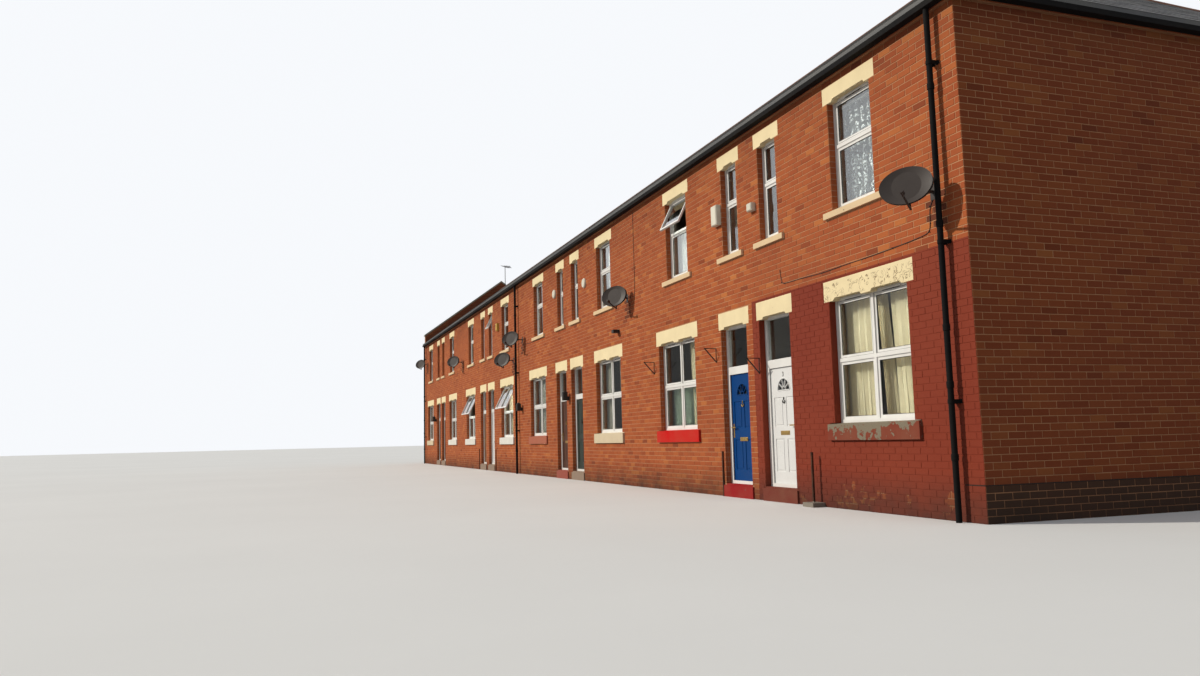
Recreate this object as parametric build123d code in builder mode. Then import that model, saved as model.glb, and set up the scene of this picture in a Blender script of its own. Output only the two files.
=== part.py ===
"""Terraced house row: eight two-storey brick houses in four mirrored pairs.

The row runs along X with its near gable at +X, its street front faces -Y and
+Z is up. The origin is on the ground, in the middle of the row's plan.
"""
import os
from dataclasses import dataclass
from math import cos, radians, sin, tan

from build123d import *

os.makedirs("parts", exist_ok=True)

# The row: houses in mirrored pairs, with brick walls one brick thick
pairs = 4
house_width = 4900
depth = 8000
wall = 230
wall_top = 5860

# The eaves: two oversailing brick courses, with the roof springing from their top
course_height = 160
course_reach = 40
roof_pitch = 36
slate_thickness = 50
slate_overhang = 90
ridge_tile_width = 300
ridge_tile_thickness = 25

# The far party wall stands above the slates under a stone coping
parapet_rise = 350
coping_thickness = 70
coping_reach = 35

# Doors in pairs, each under a fanlight
door_offset = 660
door_width = 900
step_height = 215
step_front_height = 190
step_overlap = 45
step_reach = 30
reveal = 95
door_frame_depth = 75
door_frame_width = 60
door_stop_depth = 15
door_stop_width = 12
transom_height = 2045
transom_depth = 110
leaf_thickness = 50
leaf_side_gap = 8
leaf_floor_gap = 20
fanlight_border = 50

# Lift-off hinges on the inside, on the side of the door next to the pair's middle
hinge_radius = 6
hinge_flap = 30
hinge_flap_thickness = 3
hinge_stand_off = 1
leaf_knuckle = 40
frame_knuckle = 30
knuckle_gap = 0.3
hinge_heights = (480, 1780)

# Door leaves: rails, two columns of panels, and a half-round fan on the first two
fan_doors = (0, 1)
fan_radius = 170
fan_bottom = 1680
rail_width = 110
lock_rail_bottom = 940
lock_rail = 190
foot_rail = 190
panel_width = 250
muntin_width = 90
panel_sink = 9
panel_margin = 22
panel_field = 7
field_taper = 30

# Ground windows: offset from the pair's middle, width, and heights of the sill
ground_offset = 2990
ground_width = 1650
ground_sill_bottom = 910
ground_sill_top = 1140
ground_sill_length = 1900
ground_transom = 1985
ground_lintel_length = 1900

# Ground-floor lintels over windows and doors are in line
ground_head = 2800
ground_lintel_height = 280
door_lintel_length = 1060

# Upper windows, wide ones over the rooms and narrow ones over the doors
upper_offset = 2830
upper_width = 950
narrow_offset = 640
narrow_width = 550
upper_sill_bottom = 3930
upper_sill_top = 4030
upper_sill_side = 165
upper_transom = 4920
upper_head = 5540
upper_lintel_height = 235
upper_lintel_side = 110

# Lintels have a shaped nib in front: square shoulders and a raised middle
nib_rise = 35
nib_shoulder = 100
nib_slope = 30
nib_drop_width = 200
sill_reach = 45
sill_fall = 15

# Window frames: an outer ring, sash borders and bars, with one sheet of glass
frame_depth = 70
frame_ring = 42
sash_border = 40
sash_step = 15
bar_depth = 36
bar_width = 50
glass_thickness = 8
open_sash_angle = 26
open_sash_depth = 34
open_sash_gap = 3
open_sash_seat = 0.3
wide_sash_houses = (4, 5)
open_upper_houses = (1,)
open_narrow_houses = (4,)

# Floors: slab on the ground, boarded floor upstairs and the bedroom ceiling
ground_floor_bottom = 90
ground_floor_top = 235
upper_floor_bottom = 3060
upper_floor_top = 3280
ceiling_bottom = 5730
ceiling_thickness = 110

# Rainwater goods
gutter_width = 112
gutter_height = 70
gutter_wall = 5
pipe_radius = 34
clip_height = 45
clip_width = 130
clip_thickness = 6
clip_gap = 0.3
gutter_drop = 6
front_pipe_insets = (330, 19900, 38700)
back_pipe_insets = (9800, 29400)
clip_heights = (1300, 3100, 5200)

# Back doors and windows
back_door_offset = 760
back_door_width = 860
back_door_head = 2150
back_window_offset = 2600
back_window_width = 1200
back_window_sill = 1000
back_upper_sill = 4030
back_lintel_height = 160
back_lintel_side = 110
back_sill_height = 80
back_sill_side = 60
back_leaf_thickness = 44
back_transom_share = 0.62

# Satellite dishes: distance from the near corner, height, and reach from the wall
dish_spots = (
    (450, 3770, 420),
    (10300, 4040, 310),
    (19330, 4130, 380),
    (20500, 3590, 370),
    (29100, 4280, 360),
    (38300, 4950, 330),
)
dish_turn = 38
dish_lift = 10
dish_roll = 6
dish_width = 600
dish_height = 450
dish_hollow = 55
dish_skin = 3
dish_arm_width = 20
dish_arm_length = 330
dish_arm_drop = 50
dish_arm_rise = 60
feed_radius = 24
feed_length = 90
dish_boss = 70
dish_boss_depth = 55
bracket_plate = (100, 180, 6)
bracket_arm = 30
bracket_knuckle = 50

# Alarm boxes and round bells, from the near corner and the ground
alarm_spots = ((5940, 4770, 200, 350, 100), (4720, 4620, 150, 130, 90), (22600, 4900, 160, 260, 90))
alarm_chamfer = 15
bell_spots = ((13240, 4840), (15820, 4970))
bell_radius = 120
bell_depth = 50
bell_chamfer = 18

# Iron posts by the doors; the first stands on a small stone pad
post_spots = (6090, 23150, 25850)
pad_post_spot = 3200
post_side = 28
post_height = 750
pad_width = 260
pad_reach = 200
pad_height = 60

# Scrolled brackets, lanterns and a lamp on the front
basket_spots = ((8960, 2250), (6200, 2250), (4720, 1950))
basket_rise = 260
basket_reach = 240
basket_bar = 12
lantern_spots = ((19510, 2030), (14700, 2120), (35600, 2120))
lantern_side = 120
lantern_height = 210
lantern_roof = 50
lantern_roof_taper = 50
lantern_arm = 60
lamp_spot = (10950, 3330)
lamp_side = 130
lamp_height = 70
lamp_reach = 150

# Aerial on the raised party wall
mast_radius = 16
mast_height = 1250
mast_off_ridge = 200
mast_off_wall = 60
boom_side = 16
boom_length = 900
boom_fall = 18
element_side = 8
element_count = 9
element_lengths = (520, 300)

# Values that follow from the sizes above
houses = 2 * pairs
all_houses = range(houses)
near_x = pairs * house_width
far_x = -near_x
front_y = -depth / 2
back_y = depth / 2
inner_front = front_y + wall
inner_back = back_y - wall
glazing_y = front_y + reveal
pair_half = door_offset + door_width / 2
pier_half = door_offset - door_width / 2
soffit = ground_head + nib_rise
upper_soffit = upper_head + nib_rise
lintel_top = ground_head + ground_lintel_height
eaves_z = wall_top + course_height
pair_centres = [near_x - house_width * (2 * i + 1) for i in range(pairs)]
party_lines = [near_x - house_width * i for i in range(1, houses)]

# The street front seen square on: sketches are drawn in X and Z
front_face = Plane(origin=(0, front_y, 0), x_dir=(1, 0, 0), z_dir=(0, -1, 0))
glazing_face = Plane(origin=(0, glazing_y, 0), x_dir=(1, 0, 0), z_dir=(0, -1, 0))
back_face = Plane(origin=(0, back_y, 0), x_dir=(1, 0, 0), z_dir=(0, -1, 0))
back_glazing_face = Plane(origin=(0, back_y - reveal, 0), x_dir=(1, 0, 0), z_dir=(0, -1, 0))


def house_x(number, offset):
    """X of something that lies this far from the middle of house number's pair."""
    side = 1 if number % 2 == 0 else -1
    return pair_centres[number // 2] + side * offset


def house_xs(offset, numbers=all_houses):
    """X of something that these houses have this far from the middle of their pair."""
    return [house_x(number, offset) for number in numbers]


def uprights(middles, width, bottom, top, mode=Mode.ADD):
    """Adds like rectangles to a wall sketch, given their middles, width and heights."""
    with Locations(*[(x, (bottom + top) / 2) for x in middles]):
        Rectangle(width, top - bottom, mode=mode)


def upright(middle, width, bottom, top, mode=Mode.ADD):
    """Adds a rectangle to a wall sketch, given its middle, width and heights."""
    uprights([middle], width, bottom, top, mode)


def block(x_range, y_range, z_range, mode=Mode.ADD):
    """Adds a box between two values on each axis."""
    ranges = (x_range, y_range, z_range)
    with Locations(tuple((low + high) / 2 for low, high in ranges)):
        Box(*[high - low for low, high in ranges], mode=mode)


def save(piece, label):
    """Names the finished piece and writes its file."""
    piece.part.label = label
    export_step(piece.part, f"parts/{label}.step")


def cut_ground_windows():
    """Cuts the ground windows' openings with the seats of their sills and lintels."""
    xs = house_xs(ground_offset)
    uprights(xs, ground_width, ground_sill_top, ground_head, Mode.SUBTRACT)
    uprights(xs, ground_sill_length, ground_sill_bottom, ground_sill_top, Mode.SUBTRACT)
    uprights(xs, ground_lintel_length, ground_head, lintel_top, Mode.SUBTRACT)


def cut_upper_windows(xs, width):
    """Cuts upper windows' openings with the seats of their sills and lintels."""
    sill_length = width + 2 * upper_sill_side
    lintel_length = width + 2 * upper_lintel_side
    uprights(xs, width, upper_sill_top, upper_head, Mode.SUBTRACT)
    uprights(xs, sill_length, upper_sill_bottom, upper_sill_top, Mode.SUBTRACT)
    uprights(xs, lintel_length, upper_head, upper_head + upper_lintel_height, Mode.SUBTRACT)


def cut_door_lintels():
    """Cuts the seats of the door lintels."""
    uprights(house_xs(door_offset), door_lintel_length, ground_head, lintel_top, Mode.SUBTRACT)


# Front wall between the pairs of doors, full height, with its windows cut through
with BuildPart() as front_wall_panels:
    panel_edges = [near_x]
    for centre in pair_centres:
        panel_edges += [centre + pair_half, centre - pair_half]
    panel_edges += [far_x + wall]
    with BuildSketch(front_face):
        for right, left in zip(panel_edges[0::2], panel_edges[1::2]):
            upright((left + right) / 2, right - left, 0, wall_top)
        cut_ground_windows()
        cut_upper_windows(house_xs(upper_offset), upper_width)
        cut_door_lintels()
    extrude(amount=-wall)
save(front_wall_panels, "front_wall_panels")

# Narrow pier between the two doors of a pair
with BuildPart() as front_door_piers:
    with BuildSketch(front_face):
        uprights(pair_centres, 2 * pier_half, 0, ground_head)
    extrude(amount=-wall)
save(front_door_piers, "front_door_piers")

# Wall over each pair of doors, with the two narrow windows
with BuildPart() as front_wall_over_doors:
    with BuildSketch(front_face):
        uprights(pair_centres, 2 * pair_half, ground_head, wall_top)
        cut_door_lintels()
        cut_upper_windows(house_xs(narrow_offset), narrow_width)
    extrude(amount=-wall)
save(front_wall_over_doors, "front_wall_over_doors")


@dataclass
class BackOpenings:
    """Like openings in the back wall: their offset, width and heights."""

    offset: float
    width: float
    bottom: float
    top: float


back_doorways = BackOpenings(back_door_offset, back_door_width, step_height, back_door_head)
back_ground = BackOpenings(back_window_offset, back_window_width, back_window_sill, back_door_head)
back_upper = BackOpenings(back_window_offset, back_window_width, back_upper_sill, upper_head)
back_openings = (back_doorways, back_ground, back_upper)


def back_lintel_row(row, mode=Mode.ADD):
    """Draws the lintels over a row of back openings."""
    width = row.width + 2 * back_lintel_side
    uprights(house_xs(row.offset), width, row.top, row.top + back_lintel_height, mode)


def back_sill_row(row, mode=Mode.ADD):
    """Draws the sills under a row of back openings."""
    width = row.width + 2 * back_sill_side
    uprights(house_xs(row.offset), width, row.bottom - back_sill_height, row.bottom, mode)


# Back wall of each house, from one party wall to the next
with BuildPart() as back_walls:
    bounds = [near_x - wall] + [x + side * wall / 2 for x in party_lines for side in (1, -1)]
    bounds += [far_x + wall]
    with BuildSketch(back_face):
        for right, left in zip(bounds[0::2], bounds[1::2]):
            upright((left + right) / 2, right - left, 0, wall_top)
        for row in back_openings:
            uprights(house_xs(row.offset), row.width, row.bottom, row.top, Mode.SUBTRACT)
            back_lintel_row(row, Mode.SUBTRACT)
            back_sill_row(row, Mode.SUBTRACT)
    extrude(amount=wall)
save(back_walls, "back_walls")

# Gable at the near end, under the hip of the roof
with BuildPart() as near_gable_wall:
    block((near_x - wall, near_x), (inner_front, back_y), (0, wall_top))
save(near_gable_wall, "near_gable_wall")

# Party walls between the houses, up to the ceilings
with BuildPart() as party_walls:
    with BuildSketch():
        for x in party_lines:
            with Locations((x, (inner_front + back_y) / 2)):
                Rectangle(wall, back_y - inner_front)
    extrude(amount=wall_top)
save(party_walls, "party_walls")

# Roof lines: the underside springs from the outer edge of the eaves course
slope = tan(radians(roof_pitch))
slope_cos = cos(radians(roof_pitch))
spring = depth / 2 + course_reach
ridge_bottom = eaves_z + spring * slope
slate_rise = slate_thickness / slope_cos
tile_rise = ridge_tile_thickness / slope_cos
reach = spring + slate_overhang
hip_x = near_x + course_reach - spring


def pitched_band(low, high):
    """Section of one slope: a band between two heights over the roof's underside."""
    edge_z = eaves_z - slate_overhang * slope
    outer = [(-reach, edge_z + low), (-reach, edge_z + high)]
    inner = [(0, ridge_bottom + high), (0, ridge_bottom + low)]
    Polygon(*outer, *inner, align=None)


def long_slope(side, low, high):
    """A slope along the row, mitred to the near hip; side is -1 in front, 1 behind."""
    section = Plane(origin=(far_x + wall, 0, 0), x_dir=(0, -side, 0), z_dir=(-side, 0, 0))
    with BuildSketch(section) as band:
        pitched_band(low, high)
    extrude(band.sketch, amount=-side * (near_x + reach - far_x))
    hip = Plane(origin=(hip_x, 0, 0), z_dir=(1, -side, 0))
    split(bisect_by=hip, keep=Keep.BOTTOM)


def end_slope(low, high):
    """The hip over the near gable, mitred to both long slopes."""
    section = Plane(origin=(hip_x, -reach, 0), x_dir=(-1, 0, 0), z_dir=(0, 1, 0))
    with BuildSketch(section) as band:
        pitched_band(low, high)
    extrude(band.sketch, amount=2 * reach)
    for side in (-1, 1):
        split(bisect_by=Plane(origin=(hip_x, 0, 0), z_dir=(1, -side, 0)), keep=Keep.TOP)


with BuildPart() as front_roof_slope:
    long_slope(-1, 0, slate_rise)
save(front_roof_slope, "front_roof_slope")

with BuildPart() as back_roof_slope:
    long_slope(1, 0, slate_rise)
save(back_roof_slope, "back_roof_slope")

with BuildPart() as hip_roof_slope:
    end_slope(0, slate_rise)
save(hip_roof_slope, "hip_roof_slope")

# Ridge and hip tiles: a thin layer over the slates, kept in strips along the edges
tile_layers = []
for side in (-1, 1):
    with BuildPart() as tile_layer:
        long_slope(side, slate_rise, slate_rise + tile_rise)
    tile_layers.append(tile_layer.part)
with BuildPart() as tile_layer:
    end_slope(slate_rise, slate_rise + tile_rise)
tile_layers.append(tile_layer.part)

roof_top = ridge_bottom + slate_rise + 2 * tile_rise
half_tile = ridge_tile_width / 2

with BuildPart() as ridge_tiles:
    add(tile_layers)
    block(
        (far_x + wall, hip_x + half_tile),
        (-half_tile, half_tile),
        (wall_top, roof_top),
        Mode.INTERSECT,
    )
save(ridge_tiles, "ridge_tiles")

hip_strips = []
for side in (-1, 1):
    with BuildPart() as hip_strip:
        add(tile_layers)
        strip = Plane(origin=(hip_x, 0, wall_top), x_dir=(1, side, 0), z_dir=(0, 0, 1))
        with BuildSketch(strip):
            with Locations((half_tile * 2**0.5 + depth, 0)):
                Rectangle(2 * depth, ridge_tile_width)
        extrude(amount=roof_top - wall_top, mode=Mode.INTERSECT)
    hip_strips.append(hip_strip.part)

with BuildPart() as hip_tiles:
    add(hip_strips)
save(hip_tiles, "hip_tiles")

# Far party wall, raised over the slates, and its coping
parapet_eaves = eaves_z + slate_rise + parapet_rise + course_reach * slope
parapet_ridge = parapet_eaves + depth / 2 * slope
coping_rise = coping_thickness / slope_cos
coping_fall = coping_reach * slope

with BuildPart() as far_gable_wall:
    with BuildSketch(Plane(origin=(far_x, 0, 0), x_dir=(0, 1, 0), z_dir=(1, 0, 0))):
        with BuildLine():
            Polyline(
                (front_y, 0),
                (back_y, 0),
                (back_y, parapet_eaves),
                (0, parapet_ridge),
                (front_y, parapet_eaves),
                close=True,
            )
        make_face()
    extrude(amount=wall)
save(far_gable_wall, "far_gable_wall")

with BuildPart() as parapet_coping:
    coping_start = Plane(origin=(far_x - coping_reach, 0, 0), x_dir=(0, 1, 0), z_dir=(1, 0, 0))
    with BuildSketch(coping_start):
        with BuildLine():
            Polyline(
                (front_y - coping_reach, parapet_eaves - coping_fall),
                (0, parapet_ridge),
                (back_y + coping_reach, parapet_eaves - coping_fall),
                (back_y + coping_reach, parapet_eaves - coping_fall + coping_rise),
                (0, parapet_ridge + coping_rise),
                (front_y - coping_reach, parapet_eaves - coping_fall + coping_rise),
                close=True,
            )
        make_face()
    extrude(amount=wall + 2 * coping_reach)
save(parapet_coping, "parapet_coping")

# Oversailing brick course under the eaves, along the front, back and near gable
with BuildPart() as front_eaves_course:
    block((far_x + wall, near_x + course_reach), (-spring, inner_front), (wall_top, eaves_z))
save(front_eaves_course, "front_eaves_course")

with BuildPart() as back_eaves_course:
    block((far_x + wall, near_x + course_reach), (inner_back, spring), (wall_top, eaves_z))
save(back_eaves_course, "back_eaves_course")

with BuildPart() as side_eaves_course:
    block((near_x - wall, near_x + course_reach), (inner_front, inner_back), (wall_top, eaves_z))
save(side_eaves_course, "side_eaves_course")


def floor_slabs(bottom, top):
    """One slab in each house, from wall to wall."""
    with BuildSketch(Plane.XY.offset(bottom)) as slabs:
        for right, left in zip(bounds[0::2], bounds[1::2]):
            with Locations(((left + right) / 2, 0)):
                Rectangle(right - left, inner_back - inner_front)
    extrude(slabs.sketch, amount=top - bottom)


with BuildPart() as ground_floors:
    floor_slabs(ground_floor_bottom, ground_floor_top)
save(ground_floors, "ground_floors")

with BuildPart() as upper_floors:
    floor_slabs(upper_floor_bottom, upper_floor_top)
save(upper_floors, "upper_floors")

with BuildPart() as bedroom_ceilings:
    floor_slabs(ceiling_bottom, ceiling_bottom + ceiling_thickness)
save(bedroom_ceilings, "bedroom_ceilings")


def lintels(xs, opening_width, length, head, height, middle_drop=False):
    """Adds stone lintels: a shaped nib in front and a plain rebated back."""
    shoulder = opening_width / 2 - nib_shoulder
    raised = shoulder - nib_slope
    underside = [(length / 2, 0), (shoulder, 0), (raised, nib_rise)]
    if middle_drop:
        underside += [(nib_drop_width / 2 + nib_slope, nib_rise), (nib_drop_width / 2, 0)]
    mirrored = [(-u, v) for u, v in reversed(underside)]
    outline = underside + mirrored + [(-length / 2, height), (length / 2, height)]
    with BuildSketch(front_face) as nibs:
        with Locations(*[(x, head) for x in xs]):
            Polygon(*outline, align=None)
    extrude(nibs.sketch, amount=-reveal)
    with BuildSketch(glazing_face) as rebated_backs:
        uprights(xs, length, head, head + height)
        uprights(xs, opening_width, head, head + nib_rise, Mode.SUBTRACT)
    extrude(rebated_backs.sketch, amount=reveal - wall)


with BuildPart() as ground_window_lintels:
    lintels(
        house_xs(ground_offset),
        ground_width,
        ground_lintel_length,
        ground_head,
        ground_lintel_height,
        middle_drop=True,
    )
save(ground_window_lintels, "ground_window_lintels")

with BuildPart() as door_lintels:
    door_xs = house_xs(door_offset)
    lintels(door_xs, door_width, door_lintel_length, ground_head, ground_lintel_height)
save(door_lintels, "door_lintels")

with BuildPart() as upper_window_lintels:
    for offset, width in ((upper_offset, upper_width), (narrow_offset, narrow_width)):
        length = width + 2 * upper_lintel_side
        lintels(house_xs(offset), width, length, upper_head, upper_lintel_height)
save(upper_window_lintels, "upper_window_lintels")


def sills(xs, length, bottom, top):
    """Adds stone sills whose tops fall towards their fronts."""
    for x in xs:
        start = Plane(origin=(x - length / 2, 0, 0), x_dir=(0, 1, 0), z_dir=(1, 0, 0))
        with BuildSketch(start) as section:
            Polygon(
                (front_y - sill_reach, bottom),
                (inner_front, bottom),
                (inner_front, top),
                (glazing_y, top),
                (front_y - sill_reach, top - sill_fall),
                align=None,
            )
        extrude(section.sketch, amount=length)


with BuildPart() as ground_window_sills:
    sills(house_xs(ground_offset), ground_sill_length, ground_sill_bottom, ground_sill_top)
save(ground_window_sills, "ground_window_sills")

with BuildPart() as upper_window_sills:
    for offset, width in ((upper_offset, upper_width), (narrow_offset, narrow_width)):
        length = width + 2 * upper_sill_side
        sills(house_xs(offset), length, upper_sill_bottom, upper_sill_top)
save(upper_window_sills, "upper_window_sills")

# Door steps: a block in the doorway and a slightly wider riser in front of the wall
with BuildPart() as door_steps:
    for number in range(houses):
        x = house_x(number, door_offset)
        half = door_width / 2
        block((x - half, x + half), (front_y, inner_front), (0, step_height))
        half += step_overlap
        block((x - half, x + half), (front_y - step_reach, front_y), (0, step_front_height))
save(door_steps, "door_steps")


@dataclass
class Windows:
    """Like windows in a row: middles, width, heights, columns, and whether the top is open."""

    xs: list
    width: float
    bottom: float
    top: float
    transom: float
    columns: int
    top_open: bool = False

    def sashes(self):
        """Lower and top sashes as ranges from the window's middle and in height."""
        half = self.width / 2 - frame_ring
        lower_z = (self.bottom + frame_ring, self.transom - bar_width / 2)
        top_z = (self.transom + bar_width / 2, self.top - frame_ring)
        columns = [(-half, half)]
        if self.columns == 2:
            columns = [(-half, -bar_width / 2), (bar_width / 2, half)]
        lower = [(x_range, lower_z) for x_range in columns]
        if self.top_open:
            return lower, [((-half, half), top_z)]
        return lower, [(x_range, top_z) for x_range in columns]

    def shut_sashes(self):
        """The sashes that are shut."""
        lower, top = self.sashes()
        return lower if self.top_open else lower + top

    def fill(self, x_range, z_range, margin=0, mode=Mode.ADD):
        """Draws one sash of each window, less a margin all round."""
        left, right = x_range
        low, high = z_range
        middles = [x + (left + right) / 2 for x in self.xs]
        uprights(middles, right - left - 2 * margin, low + margin, high - margin, mode)


def window_frames(face, side, windows):
    """Adds frames: ring and bars in front, set-back sashes where they are shut."""
    lower, top = windows.sashes()
    whole = (-windows.width / 2, windows.width / 2), (windows.bottom, windows.top)
    with BuildSketch(face) as rings:
        windows.fill(*whole)
        windows.fill(*whole, frame_ring, Mode.SUBTRACT)
    extrude(rings.sketch, amount=-side * frame_depth)
    with BuildSketch(face) as bars:
        windows.fill(*whole)
        for sash in lower + top:
            windows.fill(*sash, mode=Mode.SUBTRACT)
    extrude(bars.sketch, amount=-side * bar_depth)
    with BuildSketch(face.offset(-side * sash_step)) as borders:
        for sash in windows.shut_sashes():
            windows.fill(*sash)
            windows.fill(*sash, sash_border, Mode.SUBTRACT)
    extrude(borders.sketch, amount=-side * (bar_depth - sash_step))


def window_panes(face, side, windows):
    """Adds the glass of the shut sashes."""
    with BuildSketch(face.offset(-side * (bar_depth - glass_thickness))) as glass:
        for sash in windows.shut_sashes():
            windows.fill(*sash, sash_border)
    extrude(glass.sketch, amount=-side * glass_thickness)


def front_windows(offset, sizes, open_houses):
    """A storey's windows at this offset: the shut ones and the ones that stand open."""
    shut_houses = [number for number in all_houses if number not in open_houses]
    shut = Windows(house_xs(offset, shut_houses), *sizes)
    return [shut, Windows(house_xs(offset, open_houses), *sizes, top_open=True)]


ground_sizes = (ground_width, ground_sill_top, soffit, ground_transom, 2)
upper_sizes = (upper_width, upper_sill_top, upper_soffit, upper_transom, 1)
narrow_sizes = (narrow_width, upper_sill_top, upper_soffit, upper_transom, 1)
ground_windows = front_windows(ground_offset, ground_sizes, wide_sash_houses)
upper_windows = front_windows(upper_offset, upper_sizes, open_upper_houses)
upper_windows += front_windows(narrow_offset, narrow_sizes, open_narrow_houses)

with BuildPart() as ground_window_frames:
    for windows in ground_windows:
        window_frames(glazing_face, 1, windows)
save(ground_window_frames, "ground_window_frames")

with BuildPart() as upper_window_frames:
    for windows in upper_windows:
        window_frames(glazing_face, 1, windows)
save(upper_window_frames, "upper_window_frames")

with BuildPart() as window_glass:
    for windows in ground_windows + upper_windows:
        window_panes(glazing_face, 1, windows)
save(window_glass, "window_glass")


def open_sashes_of(windows):
    """Front plane of each open top-hung sash, at the middle of its top, with its panes."""
    turn = radians(open_sash_angle)
    (left, right), (low, high) = windows.sashes()[1][0]
    width = right - left - 2 * open_sash_gap
    height = high - low - open_sash_gap
    pane_width = (width - (windows.columns + 1) * sash_border) / windows.columns
    step = pane_width + sash_border
    panes = [step * (column - (windows.columns - 1) / 2) for column in range(windows.columns)]
    for x in windows.xs:
        hinge = (x, glazing_y + sash_step, high - open_sash_seat)
        face = Plane(origin=hinge, x_dir=(1, 0, 0), z_dir=(0, -cos(turn), sin(turn)))
        yield face, width, height, panes, pane_width


with BuildPart() as open_sashes:
    for windows in ground_windows + upper_windows:
        if windows.top_open:
            for face, width, height, panes, pane_width in open_sashes_of(windows):
                with BuildSketch(face):
                    upright(0, width, -height, 0)
                    pane_bottom = sash_border - height
                    uprights(panes, pane_width, pane_bottom, -sash_border, Mode.SUBTRACT)
                extrude(amount=-open_sash_depth)
save(open_sashes, "open_sashes")

with BuildPart() as open_sash_glass:
    for windows in ground_windows + upper_windows:
        if windows.top_open:
            for face, width, height, panes, pane_width in open_sashes_of(windows):
                with BuildSketch(face.offset(glass_thickness - open_sash_depth)):
                    uprights(panes, pane_width, sash_border - height, -sash_border)
                extrude(amount=-glass_thickness)
save(open_sash_glass, "open_sash_glass")

# Door frames with fanlights; the leaf closes against a stop on the frame's front
leaf_bottom = ground_floor_top + leaf_floor_gap
leaf_top = transom_height - leaf_side_gap
leaf_opening = door_width - 2 * door_frame_width
leaf_width = leaf_opening - 2 * leaf_side_gap
threshold_top = leaf_bottom - leaf_side_gap
fanlight_bottom = transom_height + transom_depth
fanlight_width = door_width - 2 * fanlight_border
fanlight_top = soffit - fanlight_border

hinge_offset = door_offset - leaf_opening / 2 + leaf_side_gap / 2
hinge_y = glazing_y + door_frame_depth + hinge_radius + hinge_stand_off


def knuckles(numbers, outward, bottom, height):
    """Adds halves of hinges, barrel and flap; outward is 1 on the leaf, -1 on the frame."""
    flap_y = hinge_y - hinge_radius - hinge_stand_off + hinge_flap_thickness / 2
    with BuildSketch(Plane.XY.offset(bottom)) as section:
        for number in numbers:
            x = house_x(number, hinge_offset)
            with Locations((x, hinge_y)):
                Circle(hinge_radius)
            flap_end = house_x(number, hinge_offset + outward * hinge_flap)
            with Locations(((x + flap_end) / 2, flap_y)):
                Rectangle(hinge_flap, hinge_flap_thickness)
    extrude(section.sketch, amount=height)


with BuildPart() as door_frames:
    with BuildSketch(glazing_face):
        uprights(door_xs, door_width, step_height, soffit)
        uprights(door_xs, leaf_opening, threshold_top, transom_height, Mode.SUBTRACT)
        uprights(door_xs, fanlight_width, fanlight_bottom, fanlight_top, Mode.SUBTRACT)
    extrude(amount=-door_frame_depth)
    with BuildSketch(glazing_face):
        uprights(door_xs, leaf_opening, threshold_top, transom_height)
        stop_width = leaf_width - 2 * door_stop_width
        stop_bottom = leaf_bottom + door_stop_width
        stop_top = leaf_top - door_stop_width
        uprights(door_xs, stop_width, stop_bottom, stop_top, Mode.SUBTRACT)
    extrude(amount=-door_stop_depth)
    for height in hinge_heights:
        knuckles(all_houses, -1, height - knuckle_gap - frame_knuckle, frame_knuckle)
save(door_frames, "door_frames")

with BuildPart() as fanlight_glass:
    with BuildSketch(glazing_face.offset(-bar_depth)):
        uprights(door_xs, fanlight_width, fanlight_bottom, fanlight_top)
    extrude(amount=-glass_thickness)
save(fanlight_glass, "fanlight_glass")

# Front doors: panelled leaves; the first two houses' have a half-round fan light
leaf_face = glazing_face.offset(leaf_thickness - door_frame_depth)


def leaf_panels(xs, bottom, top):
    """Sinks a row of panels into the leaf's face and raises their bevelled fields again."""
    with BuildSketch(leaf_face) as panels:
        uprights(xs, panel_width, bottom, top)
    extrude(panels.sketch, amount=-panel_sink, mode=Mode.SUBTRACT)
    with BuildSketch(leaf_face.offset(-panel_sink)) as fields:
        field_width = panel_width - 2 * panel_margin
        uprights(xs, field_width, bottom + panel_margin, top - panel_margin)
    extrude(fields.sketch, amount=panel_field, taper=field_taper)


def fan_light(x):
    """Draws the half-round fan light in the top of the leaf."""
    with Locations((x, fan_bottom)):
        Circle(fan_radius)
    upright(x, 2 * fan_radius, fan_bottom - fan_radius, fan_bottom, Mode.SUBTRACT)


def front_door(number):
    """The leaf of one house's front door."""
    x = house_x(number, door_offset)
    with BuildSketch(leaf_face) as leaf:
        upright(x, leaf_width, leaf_bottom, leaf_top)
    extrude(leaf.sketch, amount=-leaf_thickness)
    for height in hinge_heights:
        knuckles([number], 1, height, leaf_knuckle)
    upper_top = leaf_top - rail_width
    if number in fan_doors:
        with BuildSketch(leaf_face) as fan:
            fan_light(x)
        extrude(fan.sketch, amount=-leaf_thickness, mode=Mode.SUBTRACT)
        upper_top = fan_bottom - rail_width
    panel_offset = (panel_width + muntin_width) / 2
    columns = [x - panel_offset, x + panel_offset]
    leaf_panels(columns, leaf_bottom + foot_rail, lock_rail_bottom)
    leaf_panels(columns, lock_rail_bottom + lock_rail, upper_top)


for number in range(houses):
    with BuildPart() as door_leaf:
        front_door(number)
    save(door_leaf, f"front_door_{number + 1}")

for number in fan_doors:
    with BuildPart() as fan_glass:
        with BuildSketch(leaf_face.offset(glass_thickness / 2 - leaf_thickness / 2)):
            fan_light(house_x(number, door_offset))
        extrude(amount=-glass_thickness)
    save(fan_glass, f"door_{number + 1}_fan_glass")

# Rainwater goods: square gutters under the slates, with round downpipes
gutter_top = eaves_z - slate_overhang * slope - gutter_drop
gutter_bottom = gutter_top - gutter_height
gutter_out = spring + gutter_width


def gutter(x_range, y_range):
    """Adds a gutter: an open trough with stop ends."""
    block(x_range, y_range, (gutter_bottom, gutter_top))
    inside = [(low + gutter_wall, high - gutter_wall) for low, high in (x_range, y_range)]
    block(*inside, (gutter_bottom + gutter_wall, gutter_top), Mode.SUBTRACT)


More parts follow.
